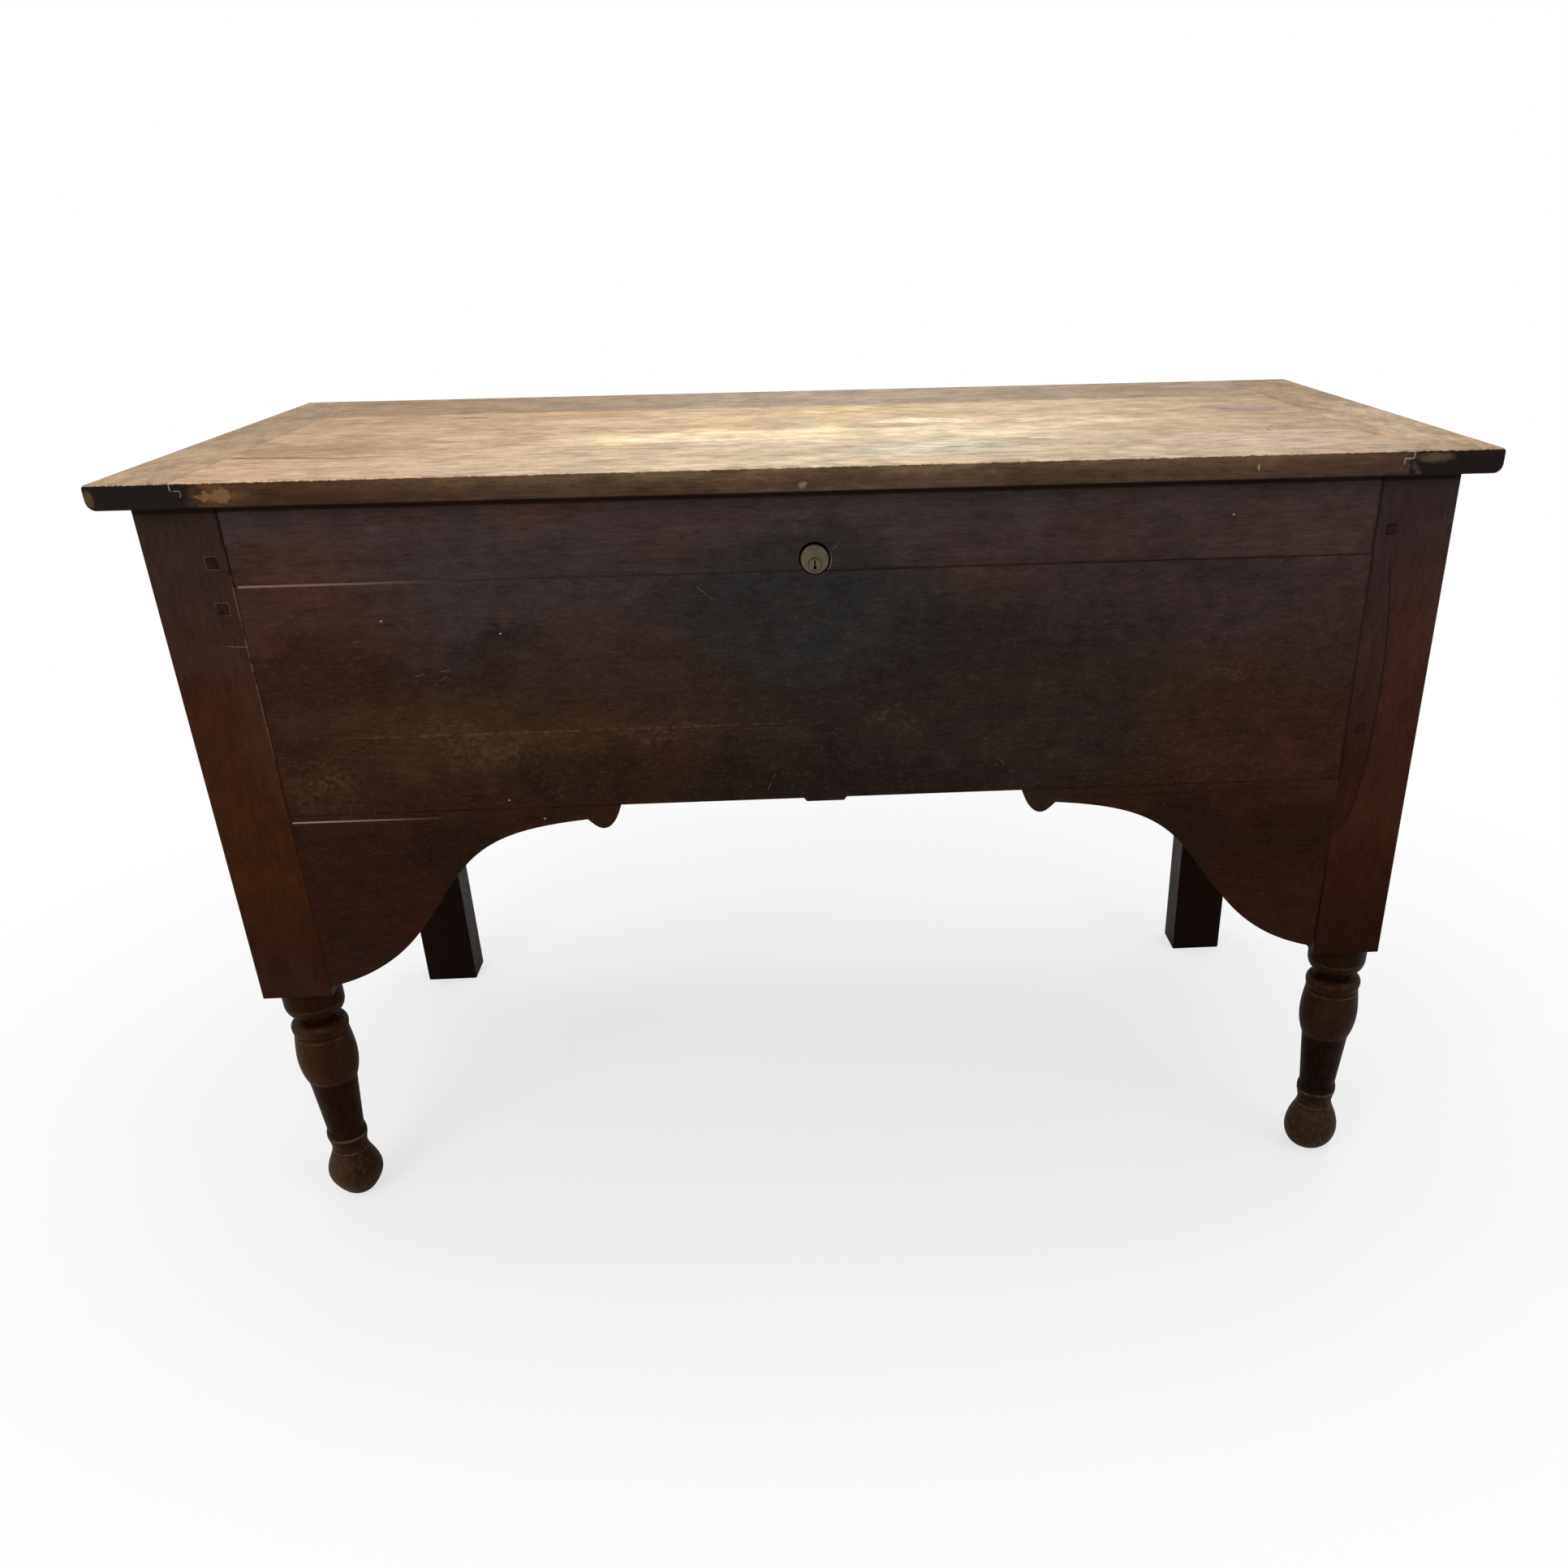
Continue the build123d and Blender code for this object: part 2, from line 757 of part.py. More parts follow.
with BuildPart() as divider_guides:
    guide_offset = divider_thickness / 2 + joint_clearance + guide_size / 2
    with BuildSketch(Plane.XY.offset(floor_top)):
        for wall_y in (inner_front + guide_size / 2, inner_back - guide_size / 2):
            for side in (-1, 1):
                for step in (-1, 1):
                    with Locations((side * divider_centre + step * guide_offset, wall_y)):
                        Rectangle(guide_size, guide_size)
    extrude(amount=divider_top - floor_top)
save(divider_guides, "divider_guides")

# %% Screws


def turn_screws(plane, places, head_radius, radius, length, spare=0.0, mode=Mode.ADD):
    """Countersunk screws with their heads flush with the plane, or with spare the holes for them."""
    for x, y in places:
        head = plane.from_local_coords(Vector(x, y, 0))
        with BuildSketch(Plane(origin=head, x_dir=plane.x_dir, z_dir=-plane.y_dir)) as outline:
            with BuildLine():
                Polyline(
                    (0, 0),
                    (head_radius + spare, 0),
                    (radius + spare, -(head_radius - radius)),
                    (radius + spare, -(length + spare)),
                    (0, -(length + spare)),
                    close=True,
                )
            make_face()
        revolve(outline.sketch, axis=Axis(head, plane.z_dir), mode=mode)


def screw_group(plane, places, head_radius, radius, length):
    """Slotted countersunk screws, all alike."""
    with BuildPart() as screws:
        turn_screws(plane, places, head_radius, radius, length)
        with BuildSketch(plane):
            with Locations(*places):
                Rectangle(2 * head_radius, screw_slot_width)
        extrude(amount=-screw_slot_depth, mode=Mode.SUBTRACT)
    return screws


# %% Lid: three boards held between two breadboard ends

lid_left = -right - lid_overhang_side
lid_right = right + lid_overhang_side
lid_front = front - lid_overhang_front
lid_top = case_height + lid_thickness
left_joint = lid_left + left_end_width
right_joint = lid_right - right_end_width
lid_middle_z = case_height + lid_thickness / 2
hinge_y = back + hinge_axis_behind
hinge_places = (hinge_inset - rear_post_inner, rear_post_inner - hinge_inset)
lid_leaf_z = case_height + hinge_leaf_sink
case_leaf_z = case_height - hinge_leaf_sink
leaf_front = hinge_y - hinge_leaf_width
leaf_bed = case_leaf_z - hinge_leaf_thickness
half_leaf = hinge_length / 2 + joint_clearance
leaf_screw_places = [
    (middle + step * hinge_screw_spacing, hinge_y - hinge_screw_row)
    for middle in hinge_places
    for step in (-1, 0, 1)
]

# The planes the screws' heads lie in: looking up from the case leaves, down from the lid leaves
case_leaf_face = Plane(origin=(0, 0, case_leaf_z), x_dir=(1, 0, 0), z_dir=(0, 0, 1))
lid_leaf_face = Plane(origin=(0, 0, lid_leaf_z), x_dir=(1, 0, 0), z_dir=(0, 0, -1))
lid_screw_places = [(x, -y) for x, y in leaf_screw_places]

with BuildPart() as back_top_rail:
    add(back_top_rail_blank.part)
    for middle in hinge_places:
        block(
            (middle - half_leaf, leaf_front - joint_clearance, leaf_bed),
            (middle + half_leaf, back, case_height),
            mode=Mode.SUBTRACT,
        )
    turn_screws(
        case_leaf_face,
        leaf_screw_places,
        leaf_screw_head_radius,
        leaf_screw_radius,
        leaf_screw_length,
        pilot_clearance,
        Mode.SUBTRACT,
    )
save(back_top_rail, "back_top_rail")

strike_x = lock_x + (left_staple_x + right_staple_x) / 2
strike_y = front + wall_inner_depth + strike_width / 2
strike_face_z = case_height + strike_sink
strike_face = Plane(origin=(0, 0, strike_face_z), x_dir=(1, 0, 0), z_dir=(0, 0, -1))
strike_screw_reach = strike_length / 2 - lock_screw_inset
strike_screw_places = [(strike_x + side * strike_screw_reach, -strike_y) for side in (-1, 1)]


def lid_board(front_edge, back_edge):
    """One board of the lid, grooved across both ends for the tongues of the end pieces."""
    ends = (left_joint + lid_joint_gap, right_joint - lid_joint_gap)
    groove_reach = tongue_length + joint_clearance
    half_groove = tongue_thickness / 2 + joint_clearance
    with BuildPart() as board:
        block((ends[0], front_edge, case_height), (ends[1], back_edge, lid_top))
        outer = [edge for edge in (lid_front, back) if edge in (front_edge, back_edge)]
        for edge_y in outer:
            fillet(edges_at(board.edges().filter_by(Axis.X), Axis.Y, edge_y), lid_edge_radius)
        for side, end in ((1, ends[0]), (-1, ends[1])):
            low_x, high_x = sorted((end, end + side * groove_reach))
            block(
                (low_x, front_edge, lid_middle_z - half_groove),
                (high_x, back_edge, lid_middle_z + half_groove),
                mode=Mode.SUBTRACT,
            )
    return board


front_seam = lid_front + lid_front_board
back_seam = front_seam + lid_middle_board
lid_board_front_blank = lid_board(lid_front, front_seam - lid_joint_gap / 2)
with BuildPart() as lid_board_front:
    add(lid_board_front_blank.part)
    block(
        (
            strike_x - strike_length / 2 - joint_clearance,
            strike_y - strike_width / 2 - joint_clearance,
            case_height,
        ),
        (
            strike_x + strike_length / 2 + joint_clearance,
            strike_y + strike_width / 2 + joint_clearance,
            strike_face_z + strike_thickness,
        ),
        mode=Mode.SUBTRACT,
    )
    turn_screws(
        strike_face,
        strike_screw_places,
        lock_screw_head_radius,
        lock_screw_radius,
        strike_screw_length,
        pilot_clearance,
        Mode.SUBTRACT,
    )
save(lid_board_front, "lid_board_front")

lid_board_middle = lid_board(front_seam + lid_joint_gap / 2, back_seam - lid_joint_gap / 2)
save(lid_board_middle, "lid_board_middle")

lid_board_back_blank = lid_board(back_seam + lid_joint_gap / 2, back)
with BuildPart() as lid_board_back:
    add(lid_board_back_blank.part)
    for middle in hinge_places:
        block(
            (middle - half_leaf, leaf_front - joint_clearance, case_height),
            (middle + half_leaf, back, lid_leaf_z + hinge_leaf_thickness),
            mode=Mode.SUBTRACT,
        )
    turn_screws(
        lid_leaf_face,
        lid_screw_places,
        leaf_screw_head_radius,
        leaf_screw_radius,
        leaf_screw_length,
        pilot_clearance,
        Mode.SUBTRACT,
    )
save(lid_board_back, "lid_board_back")


def lid_end(side, outer_x, joint_x):
    """Breadboard end: rounded along its outer edge, tongued along its inner one."""
    with BuildPart() as end_piece:
        low_x, high_x = sorted((outer_x, joint_x))
        block((low_x, lid_front, case_height), (high_x, back, lid_top))
        for height, radius in ((case_height, lid_end_bottom_radius), (lid_top, lid_end_top_radius)):
            outer_edges = edges_at(end_piece.edges().filter_by(Axis.Y), Axis.X, outer_x)
            fillet(edges_at(outer_edges, Axis.Z, height), radius)
        block(
            (min(joint_x, joint_x - side * tongue_length), lid_front, lid_middle_z - tongue_thickness / 2),
            (max(joint_x, joint_x - side * tongue_length), back, lid_middle_z + tongue_thickness / 2),
        )
    return end_piece


save(lid_end(-1, lid_left, left_joint), "lid_end_left")
save(lid_end(1, lid_right, right_joint), "lid_end_right")

# %% Butt hinges between the case and the lid

knuckle_pitch = (hinge_length + knuckle_gap) / knuckle_count


def hinge_leaf(middle, low_z, knuckle_numbers, screw_face, screw_places):
    """Plate with its share of the knuckles; it stops short of the other leaf's knuckles."""
    start_x = middle - hinge_length / 2
    with BuildPart() as leaf:
        block((start_x, leaf_front, low_z), (start_x + hinge_length, back, low_z + hinge_leaf_thickness))
        for number in knuckle_numbers:
            knuckle_x = start_x + number * knuckle_pitch
            knuckle_end = knuckle_x + knuckle_pitch - knuckle_gap
            block((knuckle_x, back, low_z), (knuckle_end, hinge_y, low_z + hinge_leaf_thickness))
            with BuildSketch(Plane.YZ.offset(knuckle_x)):
                with Locations((hinge_y, case_height)):
                    Circle(knuckle_radius)
            extrude(amount=knuckle_end - knuckle_x)
        with BuildSketch(Plane.YZ.offset(start_x)):
            with Locations((hinge_y, case_height)):
                Circle(hinge_pin_radius + running_clearance)
        extrude(amount=hinge_length, mode=Mode.SUBTRACT)
        turn_screws(
            screw_face,
            screw_places,
            leaf_screw_head_radius,
            leaf_screw_radius,
            leaf_screw_length,
            pilot_clearance,
            Mode.SUBTRACT,
        )
    return leaf


for leaf_name, middle in zip(("left", "right"), hinge_places):
    case_leaf = hinge_leaf(middle, leaf_bed, (0, 2), case_leaf_face, leaf_screw_places)
    lid_leaf = hinge_leaf(middle, lid_leaf_z, (1,), lid_leaf_face, lid_screw_places)
    save(case_leaf, f"case_hinge_leaf_{leaf_name}")
    save(lid_leaf, f"lid_hinge_leaf_{leaf_name}")

with BuildPart() as hinge_pins:
    for middle in hinge_places:
        pin_start = middle - hinge_length / 2
        with BuildSketch(Plane.YZ.offset(pin_start - joint_clearance)):
            with Locations((hinge_y, case_height)):
                Circle(hinge_pin_radius)
        extrude(amount=hinge_length + 2 * joint_clearance)
        for start, amount in (
            (pin_start - joint_clearance, -pin_head_height),
            (pin_start + hinge_length + joint_clearance, pin_head_height),
        ):
            with BuildSketch(Plane.YZ.offset(start)):
                with Locations((hinge_y, case_height)):
                    Circle(pin_head_radius)
            extrude(amount=amount)
save(hinge_pins, "hinge_pins")

leaf_screw_sizes = (leaf_screw_head_radius, leaf_screw_radius, leaf_screw_length)
save(screw_group(case_leaf_face, leaf_screw_places, *leaf_screw_sizes), "hinge_screws_case")
save(screw_group(lid_leaf_face, lid_screw_places, *leaf_screw_sizes), "hinge_screws_lid")

# %% Lock: cylinder in the rail, box lock behind it, two-fingered sliding bolt

plate_back = wall_inner_depth + lock_plate_thickness
cam_front = plate_back + layer_gap
cam_back = cam_front + cam_thickness
bolt_front = cam_back + layer_gap
bolt_back = bolt_front + bolt_thickness
cover_back = wall_inner_depth + lock_case_depth
cover_front = cover_back - lock_wall
cylinder_screw_places = [(lock_x + side * cylinder_screw_x, lock_z + cylinder_screw_rise) for side in (-1, 1)]

# Seen from inside the chest: the wall's plane turned about, so its x runs the other way
plate_inside = Plane(origin=(0, front + plate_back, 0), x_dir=(-1, 0, 0), z_dir=(0, 1, 0))
cover_inside = Plane(origin=(0, front + cover_back, 0), x_dir=(-1, 0, 0), z_dir=(0, 1, 0))
cylinder_screw_sizes = (lock_screw_head_radius, lock_screw_radius, cylinder_screw_grip)
lock_screw_sizes = (lock_screw_head_radius, lock_screw_radius, lock_case_depth + lock_screw_grip)

with BuildPart() as lock_cylinder:
    with BuildSketch(front_wall.offset(-cylinder_recess)):
        with Locations((lock_x, lock_z)):
            Circle(cylinder_radius)
    extrude(amount=-(wall_inner_depth - cylinder_recess))
    fillet(lock_cylinder.faces().sort_by(Axis.Y)[0].edges(), cylinder_edge_radius)
    with BuildSketch(front_wall.offset(-cylinder_recess)):
        with Locations((lock_x, plug_z)):
            Circle(plug_radius + running_clearance)
    extrude(amount=-wall_inner_depth, mode=Mode.SUBTRACT)
    mouth = lock_cylinder.faces().sort_by(Axis.Y)[0].edges().sort_by(SortBy.LENGTH)[0]
    chamfer(mouth, plug_ring_width)
    turn_screws(
        plate_inside, mirrored(cylinder_screw_places), *cylinder_screw_sizes, pilot_clearance, Mode.SUBTRACT
    )
save(lock_cylinder, "lock_cylinder")

plug_front = cylinder_recess + plug_end_gap
plug_back = wall_inner_depth - plug_end_gap
with BuildPart() as lock_plug:
    with BuildSketch(front_wall.offset(-plug_front)):
        with Locations((lock_x, plug_z)):
            Circle(plug_radius)
    extrude(amount=-(plug_back - plug_front))
    with BuildSketch(front_wall.offset(-plug_back)):
        with Locations((lock_x, plug_z)):
            Circle(tail_radius)
    extrude(amount=-(cam_front - plug_back))
    with BuildSketch(front_wall.offset(-cam_front)):
        with Locations((lock_x, plug_z)):
            Rectangle(tail_size, tail_size)
    extrude(amount=-cam_thickness)
    with BuildSketch(front_wall.offset(-plug_front)):
        with Locations((lock_x, plug_z)):
            Rectangle(keyway_width, keyway_height)
        with Locations((lock_x, plug_z - (keyway_height - keyway_side_height) / 2)):
            Rectangle(keyway_side_width, keyway_side_height)
    extrude(amount=-keyway_depth, mode=Mode.SUBTRACT)
save(lock_plug, "lock_plug")

crank_angle = radians(cam_swing / 2)
cam_pin_x = lock_x - cam_crank * sin(crank_angle)
cam_pin_z = plug_z + cam_crank * cos(crank_angle)
with BuildPart() as lock_cam:
    with BuildSketch(front_wall.offset(-cam_front)):
        with Locations((lock_x, plug_z)):
            Circle(cam_hub_radius)
        with Locations((cam_pin_x, cam_pin_z)):
            Circle(cam_tip_radius)
        with Locations(((lock_x + cam_pin_x) / 2, (plug_z + cam_pin_z) / 2)):
            Rectangle(cam_crank, 2 * cam_tip_radius, rotation=quarter_turn + cam_swing / 2)
        with Locations((lock_x, plug_z)):
            Rectangle(tail_size + joint_clearance, tail_size + joint_clearance, mode=Mode.SUBTRACT)
    extrude(amount=-cam_thickness)
    with BuildSketch(front_wall.offset(-cam_back)):
        with Locations((cam_pin_x, cam_pin_z)):
            Circle(cam_pin_radius)
    extrude(amount=-(bolt_back - cam_back))
save(lock_cam, "lock_cam")

bolt_travel = 2 * cam_crank * sin(crank_angle)
finger_z = case_height - finger_drop
staple_xs = (lock_x + left_staple_x, lock_x + right_staple_x)
finger_tips = [x - staple_thickness / 2 - finger_gap for x in staple_xs]
bolt_left = finger_tips[0] - finger_length - bolt_arm_width
bolt_right = finger_tips[1] - finger_length
bolt_bottom = plug_z + cam_crank + cam_pin_radius + fork_clearance
stud_z = bolt_bottom + bolt_body_height / 2
stud_places = [(lock_x + left_stud_x, stud_z), (lock_x + right_stud_x, stud_z)]

with BuildPart() as lock_bolt:
    with BuildSketch(front_wall.offset(-bolt_front)):
        with Locations(((bolt_left + bolt_right) / 2, stud_z)):
            Rectangle(bolt_right - bolt_left, bolt_body_height)
        for tip in finger_tips:
            arm_left = tip - finger_length - bolt_arm_width
            finger_top = finger_z + finger_height / 2
            with Locations((arm_left + bolt_arm_width / 2, (stud_z + finger_top) / 2)):
                Rectangle(bolt_arm_width, finger_top - stud_z)
            with Locations(((arm_left + tip) / 2, finger_z)):
                Rectangle(tip - arm_left, finger_height)
        prong_offset = cam_pin_radius + fork_clearance + fork_prong / 2
        for side in (-1, 1):
            with Locations((cam_pin_x + side * prong_offset, bolt_bottom - fork_depth / 2)):
                Rectangle(fork_prong, fork_depth)
        for stud_x, stud_height in stud_places:
            with Locations((stud_x - bolt_travel / 2, stud_height)):
                SlotCenterToCenter(bolt_travel, 2 * (stud_radius + pilot_clearance), mode=Mode.SUBTRACT)
    extrude(amount=-bolt_thickness)
save(lock_bolt, "lock_bolt")

lock_case_middle = (lock_case_top + lock_case_bottom) / 2
staple_y = front + (bolt_front + bolt_back) / 2
with BuildPart() as lock_case:
    with BuildSketch(front_wall.offset(-wall_inner_depth)):
        with Locations((lock_x, lock_case_middle)):
            Rectangle(lock_case_width, lock_case_height)
    extrude(amount=-(cover_front - wall_inner_depth))
    with BuildSketch(front_wall.offset(-plate_back)):
        with Locations((lock_x, lock_case_middle)):
            Rectangle(lock_case_width - 2 * lock_wall, lock_case_height - 2 * lock_wall)
    extrude(amount=-(cover_front - plate_back), mode=Mode.SUBTRACT)
    with BuildSketch(front_wall.offset(-plate_back)):
        with Locations(*stud_places):
            Circle(stud_radius)
    extrude(amount=-(cover_front - plate_back))
    with BuildSketch(front_wall.offset(-wall_inner_depth)):
        with Locations((lock_x, plug_z)):
            Circle(tail_radius + running_clearance)
        with Locations(*lock_screw_places):
            Circle(lock_screw_radius + pilot_clearance)
    extrude(amount=-lock_plate_thickness, mode=Mode.SUBTRACT)
    turn_screws(
        plate_inside, mirrored(cylinder_screw_places), *cylinder_screw_sizes, pilot_clearance, Mode.SUBTRACT
    )
    for staple_x in staple_xs:
        half_x = staple_thickness / 2 + staple_slot_clearance
        half_y = staple_width / 2 + staple_slot_clearance
        block(
            (staple_x - half_x, staple_y - half_y, lock_case_top - lock_wall),
            (staple_x + half_x, staple_y + half_y, lock_case_top),
            mode=Mode.SUBTRACT,
        )
save(lock_case, "lock_case")

with BuildPart() as lock_cover:
    with BuildSketch(front_wall.offset(-cover_front)):
        with Locations((lock_x, lock_case_middle)):
            Rectangle(lock_case_width, lock_case_height)
    extrude(amount=-lock_wall)
    turn_screws(cover_inside, mirrored(lock_screw_places), *lock_screw_sizes, pilot_clearance, Mode.SUBTRACT)
save(lock_cover, "lock_cover")

save(screw_group(plate_inside, mirrored(cylinder_screw_places), *cylinder_screw_sizes), "cylinder_screws")
save(screw_group(cover_inside, mirrored(lock_screw_places), *lock_screw_sizes), "lock_screws")

# %% Strike plate with its two staples, let into the underside of the lid

eye_height = finger_height + 2 * eye_clearance
eye_bottom = finger_z - eye_height / 2
with BuildPart() as strike_plate:
    block(
        (strike_x - strike_length / 2, strike_y - strike_width / 2, strike_face_z),
        (strike_x + strike_length / 2, strike_y + strike_width / 2, strike_face_z + strike_thickness),
    )
    for staple_x in staple_xs:
        half_x = staple_thickness / 2
        half_y = staple_width / 2
        half_eye = half_y - staple_wall
        block(
            (staple_x - half_x, staple_y - half_y, eye_bottom - staple_wall),
            (staple_x + half_x, staple_y + half_y, strike_face_z),
        )
        block(
            (staple_x - half_x, staple_y - half_eye, eye_bottom),
            (staple_x + half_x, staple_y + half_eye, eye_bottom + eye_height),
            mode=Mode.SUBTRACT,
        )
    turn_screws(
        strike_face,
        strike_screw_places,
        lock_screw_head_radius,
        lock_screw_radius,
        strike_screw_length,
        pilot_clearance,
        Mode.SUBTRACT,
    )
save(strike_plate, "strike_plate")
save(
    screw_group(
        strike_face, strike_screw_places, lock_screw_head_radius, lock_screw_radius, strike_screw_length
    ),
    "strike_screws",
)
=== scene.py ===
# %% [markdown]
# # A joined sugar chest, dressed
#
# The chest's wooden and metal pieces come in as a fixed model, in metres: +X to the right of
# someone facing the chest, +Y towards its back, +Z up. This script gives each piece the finish
# that the real one has, whittles its pegs, lights it plainly and sets a camera.

# %% Load the model
import json
import math

import bmesh
import bpy
from mathutils import Matrix, Vector


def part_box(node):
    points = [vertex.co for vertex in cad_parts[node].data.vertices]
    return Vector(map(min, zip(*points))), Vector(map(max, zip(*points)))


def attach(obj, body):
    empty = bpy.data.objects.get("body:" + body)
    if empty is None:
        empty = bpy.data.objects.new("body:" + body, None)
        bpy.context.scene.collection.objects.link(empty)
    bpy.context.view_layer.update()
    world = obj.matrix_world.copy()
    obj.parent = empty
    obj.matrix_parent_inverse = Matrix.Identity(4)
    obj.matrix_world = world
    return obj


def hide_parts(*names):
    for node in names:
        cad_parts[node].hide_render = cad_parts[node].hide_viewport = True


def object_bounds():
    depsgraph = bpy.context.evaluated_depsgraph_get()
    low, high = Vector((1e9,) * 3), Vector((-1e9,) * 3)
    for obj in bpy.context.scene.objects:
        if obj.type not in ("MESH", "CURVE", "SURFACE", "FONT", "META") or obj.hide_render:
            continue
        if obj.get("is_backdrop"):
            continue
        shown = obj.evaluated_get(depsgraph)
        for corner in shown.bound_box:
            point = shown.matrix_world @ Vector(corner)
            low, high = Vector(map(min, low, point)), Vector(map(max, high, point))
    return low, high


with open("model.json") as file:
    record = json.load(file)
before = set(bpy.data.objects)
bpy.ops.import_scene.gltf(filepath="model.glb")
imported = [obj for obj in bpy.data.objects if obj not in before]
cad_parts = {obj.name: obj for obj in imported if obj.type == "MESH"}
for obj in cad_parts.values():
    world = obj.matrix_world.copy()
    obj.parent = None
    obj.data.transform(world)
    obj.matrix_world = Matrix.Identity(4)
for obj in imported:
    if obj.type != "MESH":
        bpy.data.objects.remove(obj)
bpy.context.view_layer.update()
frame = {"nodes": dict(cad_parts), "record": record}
nodes = frame["nodes"]

# %% [markdown]
# ## Where the marks go
#
# Wear follows the edges of the pieces, so the script asks the model where those edges are: the
# faces of the case, the joints of the lid's boards with its two ends, and the middle of the lock.
# Both posts and both ends are mirror images, so the left one gives the place of the right one.

# %% Places on the case
post_low, post_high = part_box("front_post_left")
rear_post_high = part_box("rear_post_left")[1]
lock_low, lock_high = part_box("lock_cylinder")

front_y = post_low.y
centre_y = (front_y + rear_post_high.y) / 2
half_width = -post_low.x
half_depth = rear_post_high.y - centre_y
post_inner = -post_high.x
case_top = post_high.z
lock_x = (lock_low.x + lock_high.x) / 2
lock_z = (lock_low.z + lock_high.z) / 2
print("case", 2 * half_width, "by", 2 * half_depth, "lock at", lock_x, lock_z)

# %% Places on the lid
lid_low, lid_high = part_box("lid_end_left")
front_board_low, front_board_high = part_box("lid_board_front")
middle_board_low, middle_board_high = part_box("lid_board_middle")

lid_top = lid_high.z
lid_width = -2 * lid_low.x
lid_depth = lid_high.y - lid_low.y
left_joint = front_board_low.x
right_joint = front_board_high.x
front_seam = middle_board_low.y
back_seam = middle_board_high.y
print("lid", lid_width, "by", lid_depth, "top at", lid_top, "joints at", left_joint, right_joint)

# %% [markdown]
# ## Tools for building finishes
#
# Each finish is a tree of nodes worked out from where a point lies on its piece, in metres, so a
# grain line or a scratch keeps its real size. One function adds every node. The others build
# patterns out of nodes: a mask is a number from 0 to 1 that says how much of a colour shows.

# %% The function that adds a node


def linear(hex_colour):
    """A colour written as on a screen, in the linear light that the renderer works in."""
    parts = [int(hex_colour[i : i + 2], 16) / 255 for i in (1, 3, 5)]
    return (*[p / 12.92 if p <= 0.04045 else ((p + 0.055) / 1.055) ** 2.4 for p in parts], 1.0)


def node(tree, kind, *inputs, stops=(), **settings):
    """Add a node and return its first output. Settings go by name, and a colour ramp's stops are
    places with colours. Inputs go in the order that the node shows them: a plain value, a colour
    such as "#d9c0a0", another node's output, or None to leave one alone."""
    made = tree.nodes.new(kind if "Node" in kind else "ShaderNode" + kind)
    for key, value in settings.items():
        setattr(made, key, value)
    for place, hex_colour in stops:
        made.color_ramp.elements.new(place).color = linear(hex_colour)
    if stops:  # a new ramp has a black end and a white one of its own
        made.color_ramp.elements.remove(made.color_ramp.elements[-1])
        made.color_ramp.elements.remove(made.color_ramp.elements[0])
    shown = [socket for socket in made.inputs if socket.enabled]
    for socket, value in zip(shown, inputs):
        if isinstance(value, bpy.types.NodeSocket):
            tree.links.new(value, socket)
        elif isinstance(value, str) and value.startswith("#"):
            socket.default_value = linear(value)
        elif value is not None:
            socket.default_value = value
    return next((socket for socket in made.outputs if socket.enabled), made)


# %% Masks along a value


def mask(tree, *parts):
    """Multiply parts together. A part is another mask, a plain share, or a limit: a value, where
    the mask is gone and where it is full, with a smooth change between the two."""
    product = None
    for part in parts:
        if isinstance(part, tuple):
            part = node(tree, "MapRange", *part, interpolation_type="SMOOTHSTEP")
        if product is not None:
            part = node(tree, "Math", product, part, operation="MULTIPLY")
        product = part
    return product


def any_of(tree, first, *others):
    """The strongest of several masks at each point."""
    for other in others:
        first = node(tree, "Math", first, other, operation="MAXIMUM")
    return first


def away_from(tree, value, middle):
    """How far a value is from a middle, to either side of it."""
    offset = node(tree, "Math", value, middle, operation="SUBTRACT")
    return node(tree, "Math", offset, operation="ABSOLUTE")


def band(tree, value, middle, half, soft):
    """1 within half of middle, fading out over soft on both sides."""
    return mask(tree, (away_from(tree, value, middle), half + soft, half))


# %% Masks on a flat face


def patch(tree, flat, middle, radii, soft):
    """An oval: 1 at its middle, 0 past its radii, soft over that share of them."""
    offset = node(tree, "VectorMath", flat, (*middle, 0.0), operation="SUBTRACT")
    scaled = node(tree, "VectorMath", offset, (*radii, 1.0), operation="DIVIDE")
    return mask(tree, (node(tree, "VectorMath", scaled, operation="LENGTH"), 1.0, 1.0 - soft))


def strokes(tree, flat, lines, half, soft):
    """Straight lines, each from one point to another, half wide on each side."""
    drawn = []
    for start, end in lines:
        run = Vector((end[0] - start[0], end[1] - start[1], 0.0))
        per_metre = tuple(run / run.length_squared)
        offset = node(tree, "VectorMath", flat, (*start, 0.0), operation="SUBTRACT")
        share = node(tree, "VectorMath", offset, per_metre, operation="DOT_PRODUCT")
        share = node(tree, "Clamp", share)
        nearest = node(tree, "VectorMath", tuple(run), share, operation="SCALE")
        away = node(tree, "VectorMath", offset, nearest, operation="DISTANCE")
        drawn.append(mask(tree, (away, half + soft, half)))
    return any_of(tree, *drawn)


# %% Patches of noise, and laying on colour


def cloud(tree, spot, size, along="X", length=1.0, detail=3.0, shift=0.0):
    """Noise in patches about size millimetres wide, and length times as long along one axis. Its
    shift moves it to a stretch of its own."""
    squeeze = [1 / length if axis == along else 1.0 for axis in "XYZ"]
    moved = [shift * step for step in (0.37, 0.83, 0.59)]
    place = node(tree, "Mapping", spot, moved, (0.0, 0.0, 0.0), squeeze)
    return node(tree, "TexNoise", place, 1000 / size, detail, 0.65)


